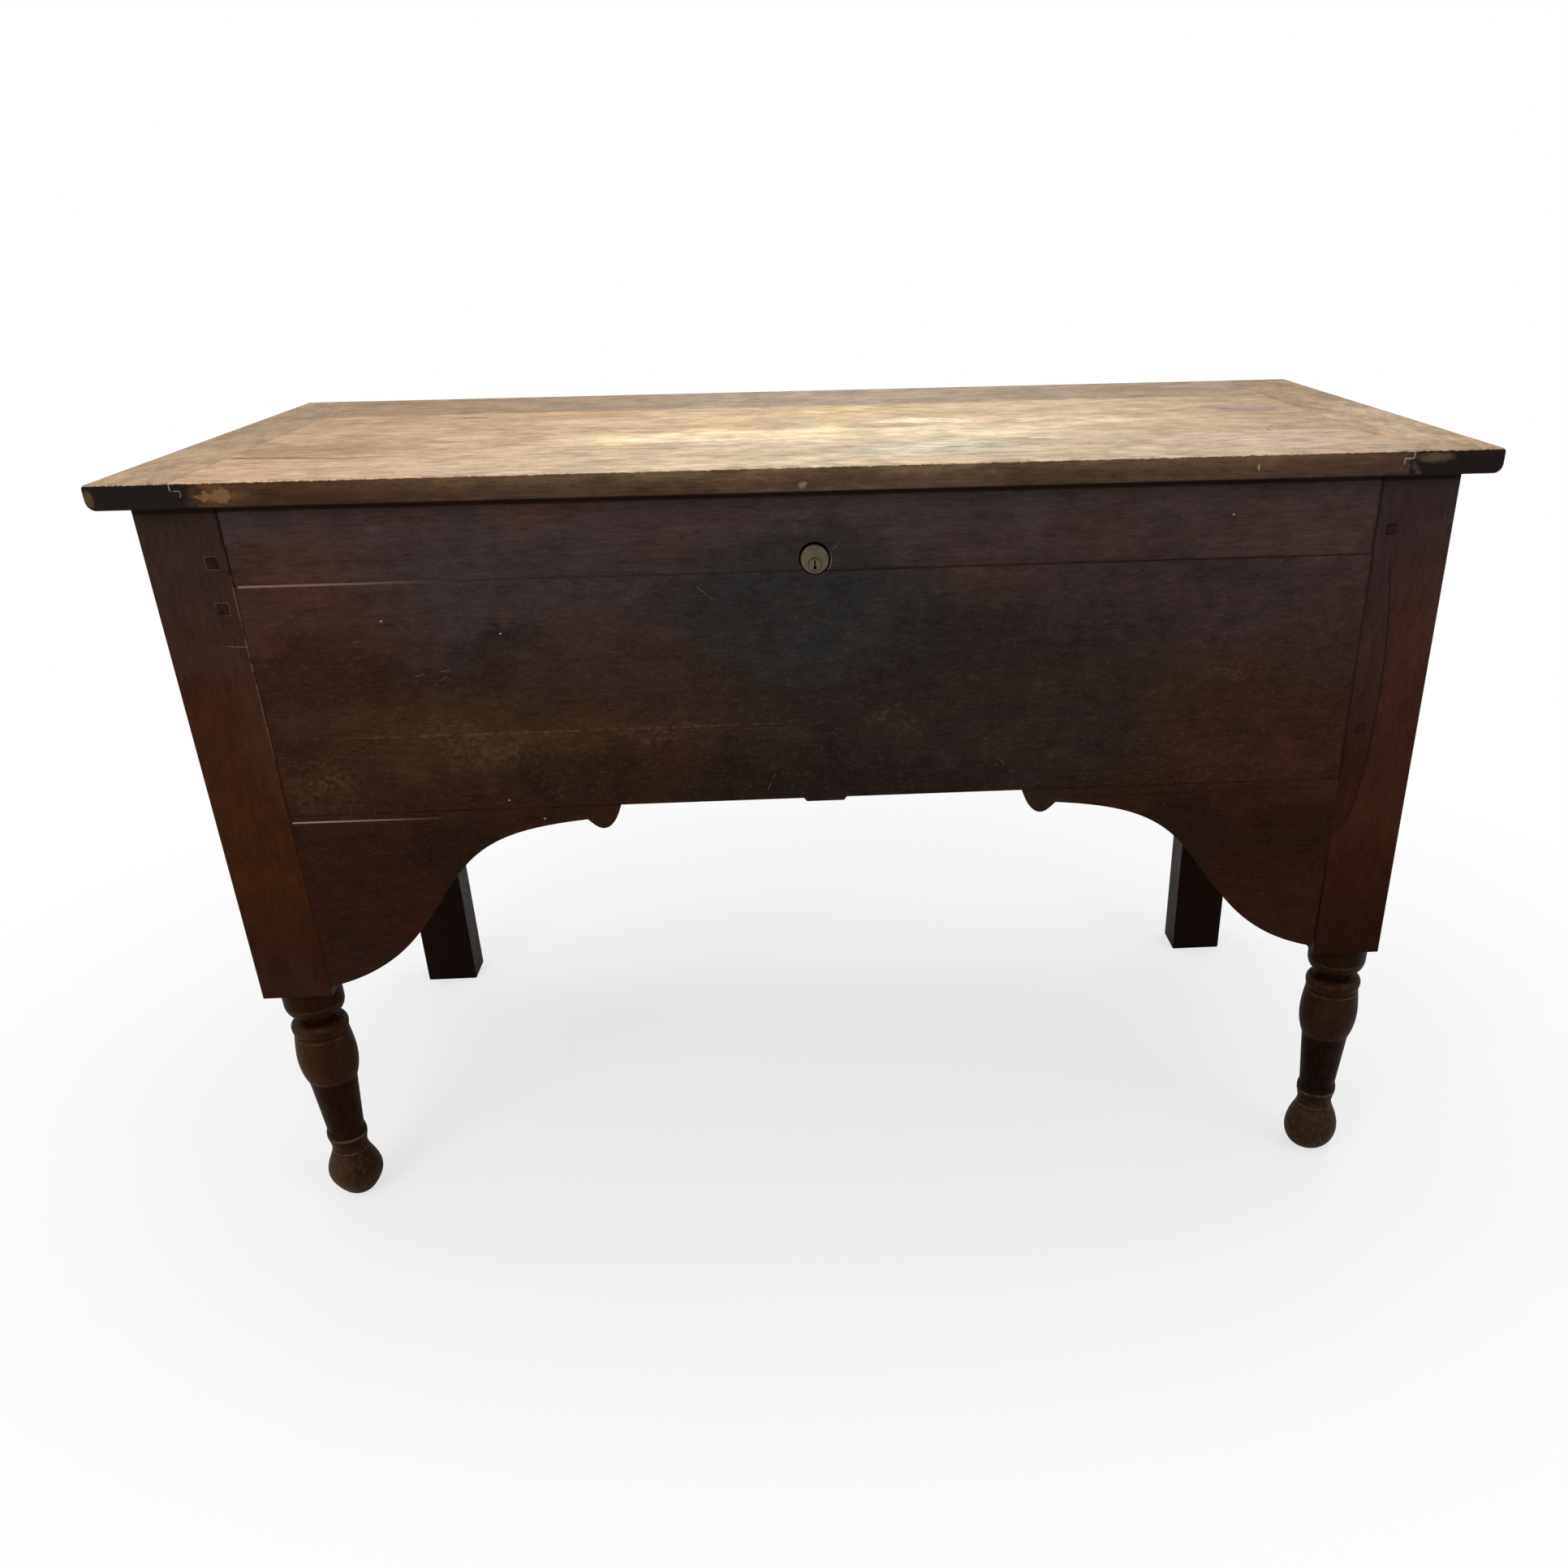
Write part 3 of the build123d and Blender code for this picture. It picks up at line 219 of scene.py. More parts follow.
def wander(tree, flat, reach, size):
    """A flat place pushed about by up to half of reach, so a patch drawn on it has a ragged rim."""
    push = node(tree, "TexNoise", flat, 1000 / size, 4.0, 0.6).node.outputs["Color"]
    push = node(tree, "VectorMath", push, (0.5, 0.5, 0.5), operation="SUBTRACT")
    push = node(tree, "VectorMath", push, reach, operation="SCALE")
    return node(tree, "VectorMath", flat, push, operation="ADD")


def paint(tree, colour, fresh, *parts):
    """Lay a fresh colour over what is there, as thickly as the product of the parts says."""
    return node(tree, "Mix", mask(tree, *parts), colour, fresh, data_type="RGBA")


# %% An empty finish


def new_finish(name):
    """A material, its tree, its surface shader, and a point's place with its x, y and z."""
    made = bpy.data.materials.new(name)
    made.use_nodes = True
    tree = made.node_tree
    tree.nodes.clear()
    shader = node(tree, "BsdfPrincipled").node
    node(tree, "OutputMaterial", shader.outputs[0])
    spot = node(tree, "TexCoord").node.outputs["Object"]
    x, y, z = node(tree, "SeparateXYZ", spot).node.outputs
    return made, tree, shader, spot, x, y, z


# %% [markdown]
# ## Wood
#
# Boards are sawn along the grain, so wood shows thin streaks, with fine open pores cut through at
# the surface. Four things are layered here: fibres, the broad figure of the growth rings, mottling
# where stain and wax took unevenly, and dark pores. Walnut's pores are about 0.2 mm wide and its
# fibres finer still, too fine to show, so both are drawn some 2 mm wide. Each piece takes its own
# stretch of the pattern, because no two boards come from the same part of a tree.

# %% The grain shared by every wooden piece

fibre_width, figure_width, mottle_width, pore_width = 2.2, 8, 24, 1.8  # millimetres


def grain(tree, spot, along, seed):
    """Fibres, figure, mottling and pores, each 0 to 1."""
    fibres = cloud(tree, spot, fibre_width, along, length=7, detail=4, shift=seed)
    figure = cloud(tree, spot, figure_width, along, length=9, detail=4, shift=seed + 1)
    mottle = cloud(tree, spot, mottle_width, along, length=1.3, detail=6, shift=seed + 2)
    pores = cloud(tree, spot, pore_width, along, length=4, detail=3, shift=seed + 3)
    return fibres, figure, mottle, mask(tree, (pores, 0.58, 0.70))


def shade(tree, colour, wood, shares):
    """Lighten and darken a colour by each share of the grain, evenly about its middle. The last
    share is the pores', which only darken."""
    *evenly, darker = shares
    light = 1.0 - sum(evenly) / 2
    for pattern, share in zip(wood, (*evenly, -darker)):
        light = node(tree, "Math", pattern, share, light, operation="MULTIPLY_ADD")
    light = node(tree, "Math", light, 0.1, operation="MAXIMUM")
    return node(tree, "VectorMath", colour, light, operation="SCALE")


# %% [markdown]
# ## The surface of wood
#
# Light catches the fibres, sinks into the pores, and comes back duller where the wax has worn.
# Height for the bump and roughness are taken from the same grain as the colour, so the three
# agree. Wood and wax bend light about as glass does. What little they mirror is warm, because it
# passes through brown varnish on its way.

# %% Fibres, pores and wax

pore_height, cut_height = -1.0, -3.0  # against 1 for a fibre
rough_spread = 0.3
wax_ior = 1.45
varnish_tint = "#ffb98c"


def finish_wood(tree, shader, colour, wood, sheen, gloss, depth, cut=None):
    """Grain cut depth metres into the surface, and a roughness about sheen that follows the
    worn wax. Where there is a cut, a line is scribed deeper."""
    fibres, _, mottle, pores = wood
    relief = node(tree, "Math", pores, pore_height, fibres, operation="MULTIPLY_ADD")
    if cut is not None:
        relief = node(tree, "Math", cut, cut_height, relief, operation="MULTIPLY_ADD")
    bump = node(tree, "Bump", 0.6, depth)
    tree.links.new(relief, bump.node.inputs["Height"])
    least = sheen - rough_spread / 2
    rough = node(tree, "Math", mottle, rough_spread, least, operation="MULTIPLY_ADD")
    tree.links.new(colour, shader.inputs["Base Color"])
    tree.links.new(rough, shader.inputs["Roughness"])
    tree.links.new(bump, shader.inputs["Normal"])
    shader.inputs["IOR"].default_value = wax_ior
    shader.inputs["Specular IOR Level"].default_value = gloss
    shader.inputs["Specular Tint"].default_value = linear(varnish_tint)


# %% [markdown]
# ## The case's colour
#
# The case is walnut under a reddish stain, waxed for generations. It is plum grey near the lid,
# from handling and painted sheen, and almost black below the lock, from smoke and painted shade,
# while it stays redder towards the floor. A ramp up the height gives the plain tone, with painted
# sheen at its top and painted shade at its foot. Over it go washes, a few wide ovals with ragged
# rims, where something happened to the stain. The darkest, under the lock, hold painted shade too.

# %% Tones of the stained walnut, by height in metres

# Greyer at the top as painted sheen, darker towards the floor as painted shade.
WALL_TONES = [(0.45, "#22110a"), (0.56, "#261710"), (0.68, "#2b1f1a"), (0.82, "#352b2a")]
FRONT_WASHES = [  # middle, radii, colour and share
    ((-0.54, 0.735), (0.13, 0.08), "#35221c", 0.9),  # the reddest part, by the left post
    ((-0.53, 0.64), (0.16, 0.10), "#29170f", 0.85),
    ((-0.52, 0.797), (0.09, 0.034), "#38251e", 0.8),  # a rub on the rail over it
    ((-0.29, 0.775), (0.16, 0.06), "#2e2828", 0.7),  # stain laid on thick
    ((-0.34, 0.711), (0.06, 0.022), "#1f1a1b", 0.7),
    ((-0.39, 0.677), (0.09, 0.028), "#231a15", 0.8),
    ((0.37, 0.745), (0.24, 0.09), "#2c2323", 0.75),
    ((0.14, 0.62), (0.32, 0.16), "#1f1b18", 0.95),  # smoke and hands under the lock, and painted shade
    ((0.02, 0.54), (0.24, 0.05), "#181411", 0.85),
    ((-0.02, 0.745), (0.19, 0.10), "#212222", 0.97),  # a film of old oil, and painted shade
    ((-0.36, 0.845), (0.20, 0.020), "#3a2c27", 0.8),  # rubs along the rail's upper edge
    ((-0.25, 0.848), (0.06, 0.012), "#452e24", 0.5),
    ((0.14, 0.828), (0.18, 0.024), "#302d2c", 0.6),
    ((0.50, 0.80), (0.11, 0.038), "#3b2c29", 0.7),
    ((-0.37, 0.605), (0.22, 0.06), "#302114", 0.75),  # ochre where a mop reached
    ((-0.27, 0.565), (0.10, 0.045), "#1e150e", 0.85),
    ((0.46, 0.60), (0.14, 0.09), "#2b1c13", 0.75),  # redder again towards the right
    ((0.57, 0.57), (0.10, 0.09), "#2d1911", 0.8),
    ((0.54, 0.46), (0.12, 0.06), "#1c0e07", 0.8),
    ((-0.400, 0.47), (0.06, 0.06), "#150e09", 0.7),  # soot along the brackets' curves
    ((0.400, 0.47), (0.06, 0.06), "#150f0c", 0.7),
]


def wash(tree, colour, flat, washes, where, reach):
    """Lay each wash on, within a mask, its rim ragged by a share of reach."""
    ragged = wander(tree, flat, reach, 70)
    for middle, radii, hex_colour, share in washes:
        oval = patch(tree, ragged, middle, radii, soft=0.5)
        colour = paint(tree, colour, hex_colour, oval, where, share)
    return colour


print("washes on the front:", len(FRONT_WASHES))

# %% [markdown]
# ## The posts and their turned legs
#
# Each front post runs down into its leg in one piece. It was turned while green, and polished by
# shoes since: the swelling vase is browner than the square above, and the thin shaft is darkest,
# as painted shade. Each post is painted greyer at the top as sheen and darker low down as shade,
# the left leg's inner side is painted in shade, and so are the rear posts low down. The right leg
# is darker than the left one. A curved line down the right post shows where the pale sapwood
# starts, which was stained to match and came out more orange.

# %% Tones of the posts and legs, by height in metres

# Greyer at the top as painted sheen, darker low down as painted shade.
LEFT_POST_TONES = [
    (0.34, "#25120a"),
    (0.45, "#2f1809"),
    (0.665, "#30190e"),
    (0.69, "#2f1d17"),
    (0.84, "#2b201d"),
]
RIGHT_POST_TONES = [
    (0.34, "#1e0c06"),
    (0.46, "#2b140b"),
    (0.54, "#25130c"),
    (0.66, "#2d1d1a"),
    (0.84, "#2d2323"),
]
# Down each leg the thin shaft is darkest, as painted shade.
LEFT_LEG_TONES = [
    (0.060, "#35261a"),  # foot
    (0.085, "#1e1209"),
    (0.105, "#190903"),  # shaft
    (0.170, "#180802"),
    (0.177, "#2e1b0b"),  # vase
    (0.245, "#2e1c0c"),
    (0.262, "#211006"),  # bead
    (0.290, "#190a04"),  # neck
]
RIGHT_LEG_TONES = [
    (0.060, "#281d14"),
    (0.085, "#150b05"),
    (0.105, "#090302"),
    (0.170, "#080301"),
    (0.177, "#1c0f08"),
    (0.245, "#1f120a"),
    (0.262, "#150903"),
]
# The sapwood's orange, painted shade on the left leg's inner side, and painted shade low on the
# rear posts.
SAPWOOD_TONE, SHADED_SIDE_LEG_TONE, REAR_SHADE_TONE = "#371d15", "#140602", "#0c0603"
print("tones down the legs:", len(LEFT_LEG_TONES), "and", len(RIGHT_LEG_TONES))

# %% The line where the sapwood starts


def sapwood_offset(tree, x, z):
    """How far right of the line a point lies. The line bows left away from its middle height,
    and hooks further left near its lower end."""
    line_x, middle_z, hook_z = 0.6155, 0.63, 0.5
    up = node(tree, "Math", z, middle_z, operation="SUBTRACT")
    bow = node(tree, "Math", up, up, operation="MULTIPLY")
    low = node(tree, "Math", hook_z, z, operation="SUBTRACT")
    low = node(tree, "Math", low, 0.0, operation="MAXIMUM")
    hook = node(tree, "Math", low, low, operation="MULTIPLY")
    back = node(tree, "Math", bow, 0.6, x, operation="MULTIPLY_ADD")
    back = node(tree, "Math", hook, 8.0, back, operation="MULTIPLY_ADD")
    return node(tree, "Math", back, line_x, operation="SUBTRACT")


# %% The posts' tone

leg_axis = (post_low.x + post_high.x) / -2


def post_tone(tree, x, y, z, sapwood):
    """Left and right posts and the legs below them, with painted shade on the left leg's inner side
    and low on the rear posts.
    """
    left, right = mask(tree, (x, 0.1, -0.1)), mask(tree, (x, -0.1, 0.1))
    orange = mask(tree, (sapwood, 0.0, 0.006), (z, 0.82, 0.70), (z, 0.42, 0.50), 0.5)
    right_post = node(tree, "ValToRGB", z, stops=RIGHT_POST_TONES)
    right_post = paint(tree, right_post, SAPWOOD_TONE, orange)
    square = node(tree, "ValToRGB", z, stops=LEFT_POST_TONES)
    square = paint(tree, square, right_post, right)
    right_leg = node(tree, "ValToRGB", z, stops=RIGHT_LEG_TONES)
    turned = node(tree, "ValToRGB", z, stops=LEFT_LEG_TONES)
    turned = paint(tree, turned, right_leg, right)
    off_axis = node(tree, "Math", x, operation="ABSOLUTE")
    off_axis = node(tree, "Math", off_axis, leg_axis, operation="SUBTRACT")
    inward = node(tree, "Math", off_axis, -1.0, operation="MULTIPLY")
    # painted shade on the inner side of the left leg
    turned = paint(tree, turned, SHADED_SIDE_LEG_TONE, (inward, -0.014, 0.016), left, 0.7)
    tone = paint(tree, square, turned, (z, 0.307, 0.302))
    # painted shade on the rear posts, low down
    return paint(tree, tone, REAR_SHADE_TONE, (y, 0.0, 0.2), (z, 0.58, 0.46))


# %% [markdown]
# ## Marks on the front
#
# What makes an old front look old is where its marks are: a dusty ochre haze where it is mopped,
# pale flecks and scratches, a painted highlight on the ledge where one board stands a little proud
# of the next, painted shadow in seams, and painted shadow under the lid. They are drawn as strokes
# on the front seen square on.

# %% Lines and specks on the front, by width and height in metres

rail_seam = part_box("front_top_rail")[0].z
wall_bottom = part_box("front_board_lower")[0].z
HAZE = [
    ((-0.36, 0.603), (0.13, 0.05)),
    ((-0.17, 0.608), (0.10, 0.014)),
    ((-0.54, 0.565), (0.07, 0.05)),
    ((0.08, 0.608), (0.05, 0.02)),
    ((0.44, 0.655), (0.04, 0.02)),
]
GLUE_LINE = [((-0.489, 0.6146), (-0.041, 0.6152))]
LIT_LEDGES = [  # start, end, and the x at which the painted highlight is gone and full
    ((-0.581, rail_seam + 0.0004), (-0.36, rail_seam + 0.0004), -0.34, -0.56),
    ((-0.582, wall_bottom - 0.0030), (-0.42, wall_bottom - 0.0034), -0.40, -0.56),
]
# painted shadow along the seams on the right
SHADED_SEAMS = [
    ((0.0, rail_seam - 0.0005), (0.58, rail_seam)),
    ((0.28, wall_bottom - 0.0055), (0.566, wall_bottom - 0.0055)),
]
SCRATCHES = [
    ((-0.478, 0.7170), (-0.472, 0.7172)),
    ((-0.4225, 0.679), (-0.384, 0.685)),
    ((-0.403, 0.669), (-0.389, 0.678)),
    ((-0.121, 0.763), (-0.105, 0.749)),
    ((-0.061, 0.539), (-0.051, 0.558)),
    ((0.302, 0.736), (0.307, 0.743)),
    ((0.428, 0.610), (0.432, 0.624)),
    ((0.1900, 0.5760), (0.2150, 0.5440)),
    ((lock_x + 0.0175, lock_z + 0.0093), (lock_x + 0.0259, lock_z + 0.0169)),
]
SPECKS = [(-0.446, 0.7375), (-0.327, 0.721), (0.4335, 0.8185), (-0.345, 0.539), (-0.309, 0.5165)]
print("scratches on the front:", len(SCRATCHES), "specks:", len(SPECKS))

# %% Dust, seams and scratches


def dust_front(tree, colour, spot, front, on_front):
    """Ochre dust in patches, fine crazing all over, and the glue line that holds the dust."""
    ragged = wander(tree, front, 0.09, 60)
    haze = [patch(tree, ragged, middle, radii, soft=0.95) for middle, radii in HAZE]
    dust = cloud(tree, spot, 4.5, length=1.3, detail=6, shift=17)
    dust = mask(tree, (dust, 0.38, 0.66))
    colour = paint(tree, colour, "#543e27", any_of(tree, *haze), dust, on_front, 0.38)
    crazed = cloud(tree, spot, 2.6, length=1.8, detail=5, shift=29)
    colour = paint(tree, colour, "#655144", (crazed, 0.54, 0.70), on_front, 0.15)
    line = strokes(tree, front, GLUE_LINE, half=0.0003, soft=0.0015)
    return paint(tree, colour, "#6f5238", line, dust, on_front, 0.25)


def mark_front(tree, colour, front, x, on_front, broken):
    """The ledges' painted highlights, the seams' painted shadow, and what has been scratched and
    chipped.
    """
    # a painted highlight where light catches each ledge
    for start, end, gone, full in LIT_LEDGES:
        ledge = strokes(tree, front, [(start, end)], half=0.0004, soft=0.0009)
        colour = paint(tree, colour, "#86705f", ledge, (x, gone, full), on_front, 0.95)
    # painted shadow in the seams
    seams = strokes(tree, front, SHADED_SEAMS, half=0.0004, soft=0.0008)
    colour = paint(tree, colour, "#120b08", seams, on_front, 0.5)
    scratched = strokes(tree, front, SCRATCHES, half=0.00005, soft=0.0006)
    colour = paint(tree, colour, "#7a6c5c", scratched, on_front, broken, 0.35)
    specks = [((left, up), (left + 0.0006, up)) for left, up in SPECKS]
    specks = strokes(tree, front, specks, half=0.0004, soft=0.0007)
    return paint(tree, colour, "#a89a8b", specks, on_front, 0.75)


# %% Round the lock, and under the lid

lock_rim, rim_run = 0.0168, 0.008  # radius of the hole, and how far round it the wear fades in
# where the painted shadow under the lid begins and where it is full
shadow_low, shadow_full = case_top - 0.0105, case_top - 0.0080


def rub_lock_rim(tree, colour, front, x, on_front):
    """The right half of the lock's hole, where keys have rubbed the stain away."""
    away = node(tree, "VectorMath", front, (lock_x, lock_z, 0.0), operation="DISTANCE")
    rim = band(tree, away, lock_rim, 0.0002, 0.0007)
    return paint(tree, colour, "#6f6a62", rim, (x, lock_x, lock_x + rim_run), on_front, 0.4)


def shadow_under_lid(tree, colour, z):
    """Painted shadow under the lid, on the top of the case."""
    return paint(tree, colour, "#120e0d", (z, shadow_low, shadow_full), 0.9)


# %% [markdown]
# ## Inside the case
#
# Only the outside was stained. This mask picks what lies within the walls' inner faces, above the
# boards' lower edge, which stays bare: yellowed and dusty.

# %% Mask for the inside, and its bare wood

skin = 0.012  # how far into a wall the stain can be seen, on its upper edge
blend = 0.001


def bare_inside(tree, x, y, z):
    across = node(tree, "Math", x, operation="ABSOLUTE")
    deep = away_from(tree, y, centre_y)
    return mask(
        tree,
        (across, half_width - skin, half_width - skin - blend),
        (deep, half_depth - skin, half_depth - skin - blend),
        (z, wall_bottom + 0.004, wall_bottom + 0.006),
    )


def bare_wood(tree, wood, clouds):
    """Unstained wood gone yellow, and browner along its figure."""
    colour = node(tree, "ValToRGB", clouds, stops=[(0.35, "#7a5a3b"), (0.65, "#9a7750")])
    colour = paint(tree, colour, "#6d482b", (wood[1], 0.52, 0.62), 0.4)
    return shade(tree, colour, wood, (0.8, 0.4, 0.4, 0.3))


# %% [markdown]
# ## Lines turned into the legs
#
# The turner left a bead under the neck, a line at each end of the vase, a collar at the ankle and
# a scribed ring on the foot. Their crests carry painted highlights, partly rubbed pale, and their
# grooves painted shade. Pale flecks on the rest, most of all the foot, are painted glints and
# shoe scuffs. The ring on the foot is shallower than a millimetre, so the surface's bump cuts it.

# %% Rings of the legs: height, half width, softness, colour and share

foot_ring = 0.0645
# pale rings are painted highlights on the crests, partly rubbed; dark ones are painted shade in
# grooves
LEG_RINGS = [
    (0.2800, 0.0006, 0.0020, "#5a4230", 0.20),
    (0.2535, 0.0010, 0.0040, "#4d3724", 0.25),
    (0.2360, 0.0002, 0.0010, "#5f4931", 0.40),
    (0.1765, 0.0003, 0.0010, "#5a4029", 0.30),
    (0.0880, 0.0010, 0.0018, "#5c4a3a", 0.50),
    (0.0800, 0.0004, 0.0010, "#120b06", 0.50),
    (foot_ring + 0.0024, 0.0004, 0.0012, "#5f4e3b", 0.40),
    (foot_ring, 0.0003, 0.0008, "#120b06", 0.60),
]


def ring_legs(tree, colour, spot, z, broken):
    """Painted glints and scuffs on what is turned, more on the foot, and the rings' painted
    highlights and shade, broken into runs.
    """
    in_runs = node(tree, "Math", broken, 0.7, 0.3, operation="MULTIPLY_ADD")
    glints_and_scuffs = cloud(tree, spot, 4, along="Z", length=2.2, detail=6, shift=41)
    glints_and_scuffs = mask(tree, (glints_and_scuffs, 0.42, 0.85))
    # pale flecks: painted glints, partly shoe scuffs
    colour = paint(tree, colour, "#6b4f38", glints_and_scuffs, (z, 0.300, 0.290), 0.07)
    colour = paint(tree, colour, "#7d6448", glints_and_scuffs, (z, 0.080, 0.070), 0.14)
    # each ring a painted highlight or a painted shade
    for height, half, soft, hex_colour, share in LEG_RINGS:
        ring = band(tree, z, height, half, soft)
        colour = paint(tree, colour, hex_colour, ring, in_runs, share)
    return colour


print("rings on each leg:", len(LEG_RINGS))

# %% [markdown]
# ## The posts' own marks
#
# The inner arris of the left post carries a painted highlight in short runs, its pegs are ringed
# by a pale line where the stain has lifted, and the sapwood's line on the right post is dark.

# %% Marks on the posts

PEG_RINGS = [(-0.6, 0.8), (-0.6, 0.7545)]
peg_ring = 0.0062  # from a peg's middle to the line round it
POST_SCRATCH = [((-0.62, 0.718), (-0.5834, 0.7155))]


def mark_posts(tree, colour, x, y, z, sapwood, broken):
    front = node(tree, "CombineXYZ", x, z)
    on_front = mask(tree, (y, front_y + 0.002, front_y + 0.0005))
    line = band(tree, sapwood, 0.0, 0.0004, 0.0010)
    line = mask(tree, line, (z, 0.445, 0.47), (z, 0.79, 0.75))
    colour = paint(tree, colour, "#150b08", line, on_front, 0.75)
    across = node(tree, "Math", x, operation="ABSOLUTE")
    # a painted highlight in short runs along the left post's inner arris
    arris = band(tree, across, post_inner + 0.0004, 0.0002, 0.0007)
    run = mask(tree, (z, 0.56, 0.64), (z, 0.82, 0.78), (x, 0.1, -0.1))
    colour = paint(tree, colour, "#76604f", arris, broken, run, 0.5)
    scratch = strokes(tree, front, POST_SCRATCH, half=0.0001, soft=0.0008)
    colour = paint(tree, colour, "#7d6759", scratch, on_front, broken, 0.35)
    for middle_x, middle_z in PEG_RINGS:
        sides = away_from(tree, x, middle_x), away_from(tree, z, middle_z)
        ring = band(tree, any_of(tree, *sides), peg_ring, 0.0001, 0.0006)
        colour = paint(tree, colour, "#7a6b5c", ring, on_front, broken, 0.22)
    return colour


# %% [markdown]
# ## Waxed walnut
#
# Now the pieces of the case can be dressed, from the broadest tone down to the finest mark, in the
# order that they came about. A little gloss is left in the wax, so edges still catch the light.

# %% Tone of a piece of the case


def walnut_tone(tree, name, wood, clouds, front, on_front, x, y, z, sapwood):
    """The plain tone, clouded where the stain was thin or thick, with the grain over it."""
    if "post" in name:
        colour = post_tone(tree, x, y, z, sapwood)
        contrast = (1.1, 0.5, 0.9, 0.25)
    else:
        colour = node(tree, "ValToRGB", z, stops=WALL_TONES)
        colour = wash(tree, colour, front, FRONT_WASHES, on_front, 0.14)
        contrast = (1.4, 0.7, 1.0, 0.3)
    colour = paint(tree, colour, "#3d2a21", (clouds, 0.52, 0.70), 0.25)
    colour = paint(tree, colour, "#1b1413", (clouds, 0.48, 0.30), 0.25)
    return shade(tree, colour, wood, contrast)


# %% Finish of the case


def waxed_walnut(name, along, seed):
    made, tree, shader, spot, x, y, z = new_finish("waxed_walnut_" + name)
    wood = grain(tree, spot, along, seed)
    clouds = cloud(tree, spot, 140, along, length=2, detail=4, shift=seed + 4)
    broken = mask(tree, (cloud(tree, spot, 14), 0.42, 0.56))
    front = node(tree, "CombineXYZ", x, z)
    on_front = mask(tree, (y, front_y + 0.03, front_y + 0.025))
    sapwood = sapwood_offset(tree, x, z) if "post" in name else None
    colour = walnut_tone(tree, name, wood, clouds, front, on_front, x, y, z, sapwood)
    cut = None
    if name.startswith("front_post"):
        colour = mark_posts(tree, colour, x, y, z, sapwood, broken)
        colour = ring_legs(tree, colour, spot, z, broken)
        cut = band(tree, z, foot_ring, 0.0004, 0.0008)
    elif name.startswith("front"):
        colour = dust_front(tree, colour, spot, front, on_front)
        colour = mark_front(tree, colour, front, x, on_front, broken)
    if name == "front_top_rail":
        colour = rub_lock_rim(tree, colour, front, x, on_front)
    if "rail" in name or "post" in name:
        colour = shadow_under_lid(tree, colour, z)
    inside = bare_inside(tree, x, y, z)
    colour = paint(tree, colour, bare_wood(tree, wood, clouds), inside)
    finish_wood(tree, shader, colour, wood, sheen=0.48, gloss=0.07, depth=0.0002, cut=cut)
    return made


# %% [markdown]
# ## The lid
#
# The top is bleached and scrubbed: its stain has worn away to dry, pale wood, palest in the
# middle where it was used most and where a lamp's reflection is painted over it, and blotched
# wherever something stood. The stain survives on its edges. The two ends, which run across the
# boards to keep them flat, are black with dirt at the front, and old pale filler follows the joint
# round each tongue.

# %% Tones of the top: boards by share of the lid's width, ends by share of its depth

# The boards are paler towards the middle, partly as painted reflection.
FRONT_BOARD_TONES = [(0.10, "#b5967a"), (0.50, "#cbb79a"), (0.90, "#b09980")]
MIDDLE_BOARD_TONES = [(0.12, "#ae9072"), (0.40, "#c8ad89"), (0.70, "#c8b091"), (0.92, "#a88e73")]
BACK_BOARD_TONES = [(0.14, "#90775d"), (0.50, "#a18f7b"), (0.86, "#96836e")]
END_TONES = [(0.10, "#a88d70"), (0.60, "#967f65")]
TOP_WASHES = [  # middle, radii, colour and share
    ((-0.05, -0.125), (0.30, 0.075), "#eedab0", 0.85),  # worn palest, with a painted reflection of a lamp over it
    ((0.28, -0.07), (0.16, 0.06), "#d9c0a0", 0.7),
    ((0.17, -0.14), (0.16, 0.08), "#dccaac", 0.8),
    # more painted reflection over worn wood
    ((0.15, -0.03), (0.09, 0.035), "#ecd8b6", 0.85),
    ((0.05, 0.09), (0.07, 0.09), "#dcc290", 0.6),  # honey-coloured wax
    ((-0.31, 0.125), (0.13, 0.045), "#b08a60", 0.5),
    ((-0.14, 0.15), (0.05, 0.06), "#b5a592", 0.5),
    ((-0.53, -0.16), (0.12, 0.07), "#9a7d5c", 0.75),
    ((0.54, 0.02), (0.06, 0.06), "#9a8578", 0.85),  # where a wet jug stood
    ((0.508, 0.045), (0.016, 0.014), "#7f7568", 0.7),
    ((0.13, -0.26), (0.12, 0.07), "#cac0aa", 0.7),  # greyed by damp
    ((0.46, -0.25), (0.13, 0.08), "#bfa392", 0.5),
    ((0.655, -0.12), (0.05, 0.26), "#b59c83", 0.7),
]
print("washes on the top:", len(TOP_WASHES))

# %% Tone of the top


def width_share(tree, x):
    """0 at the lid's left end and 1 at its right."""
    return node(tree, "Math", x, 1 / lid_width, 0.5, operation="MULTIPLY_ADD")


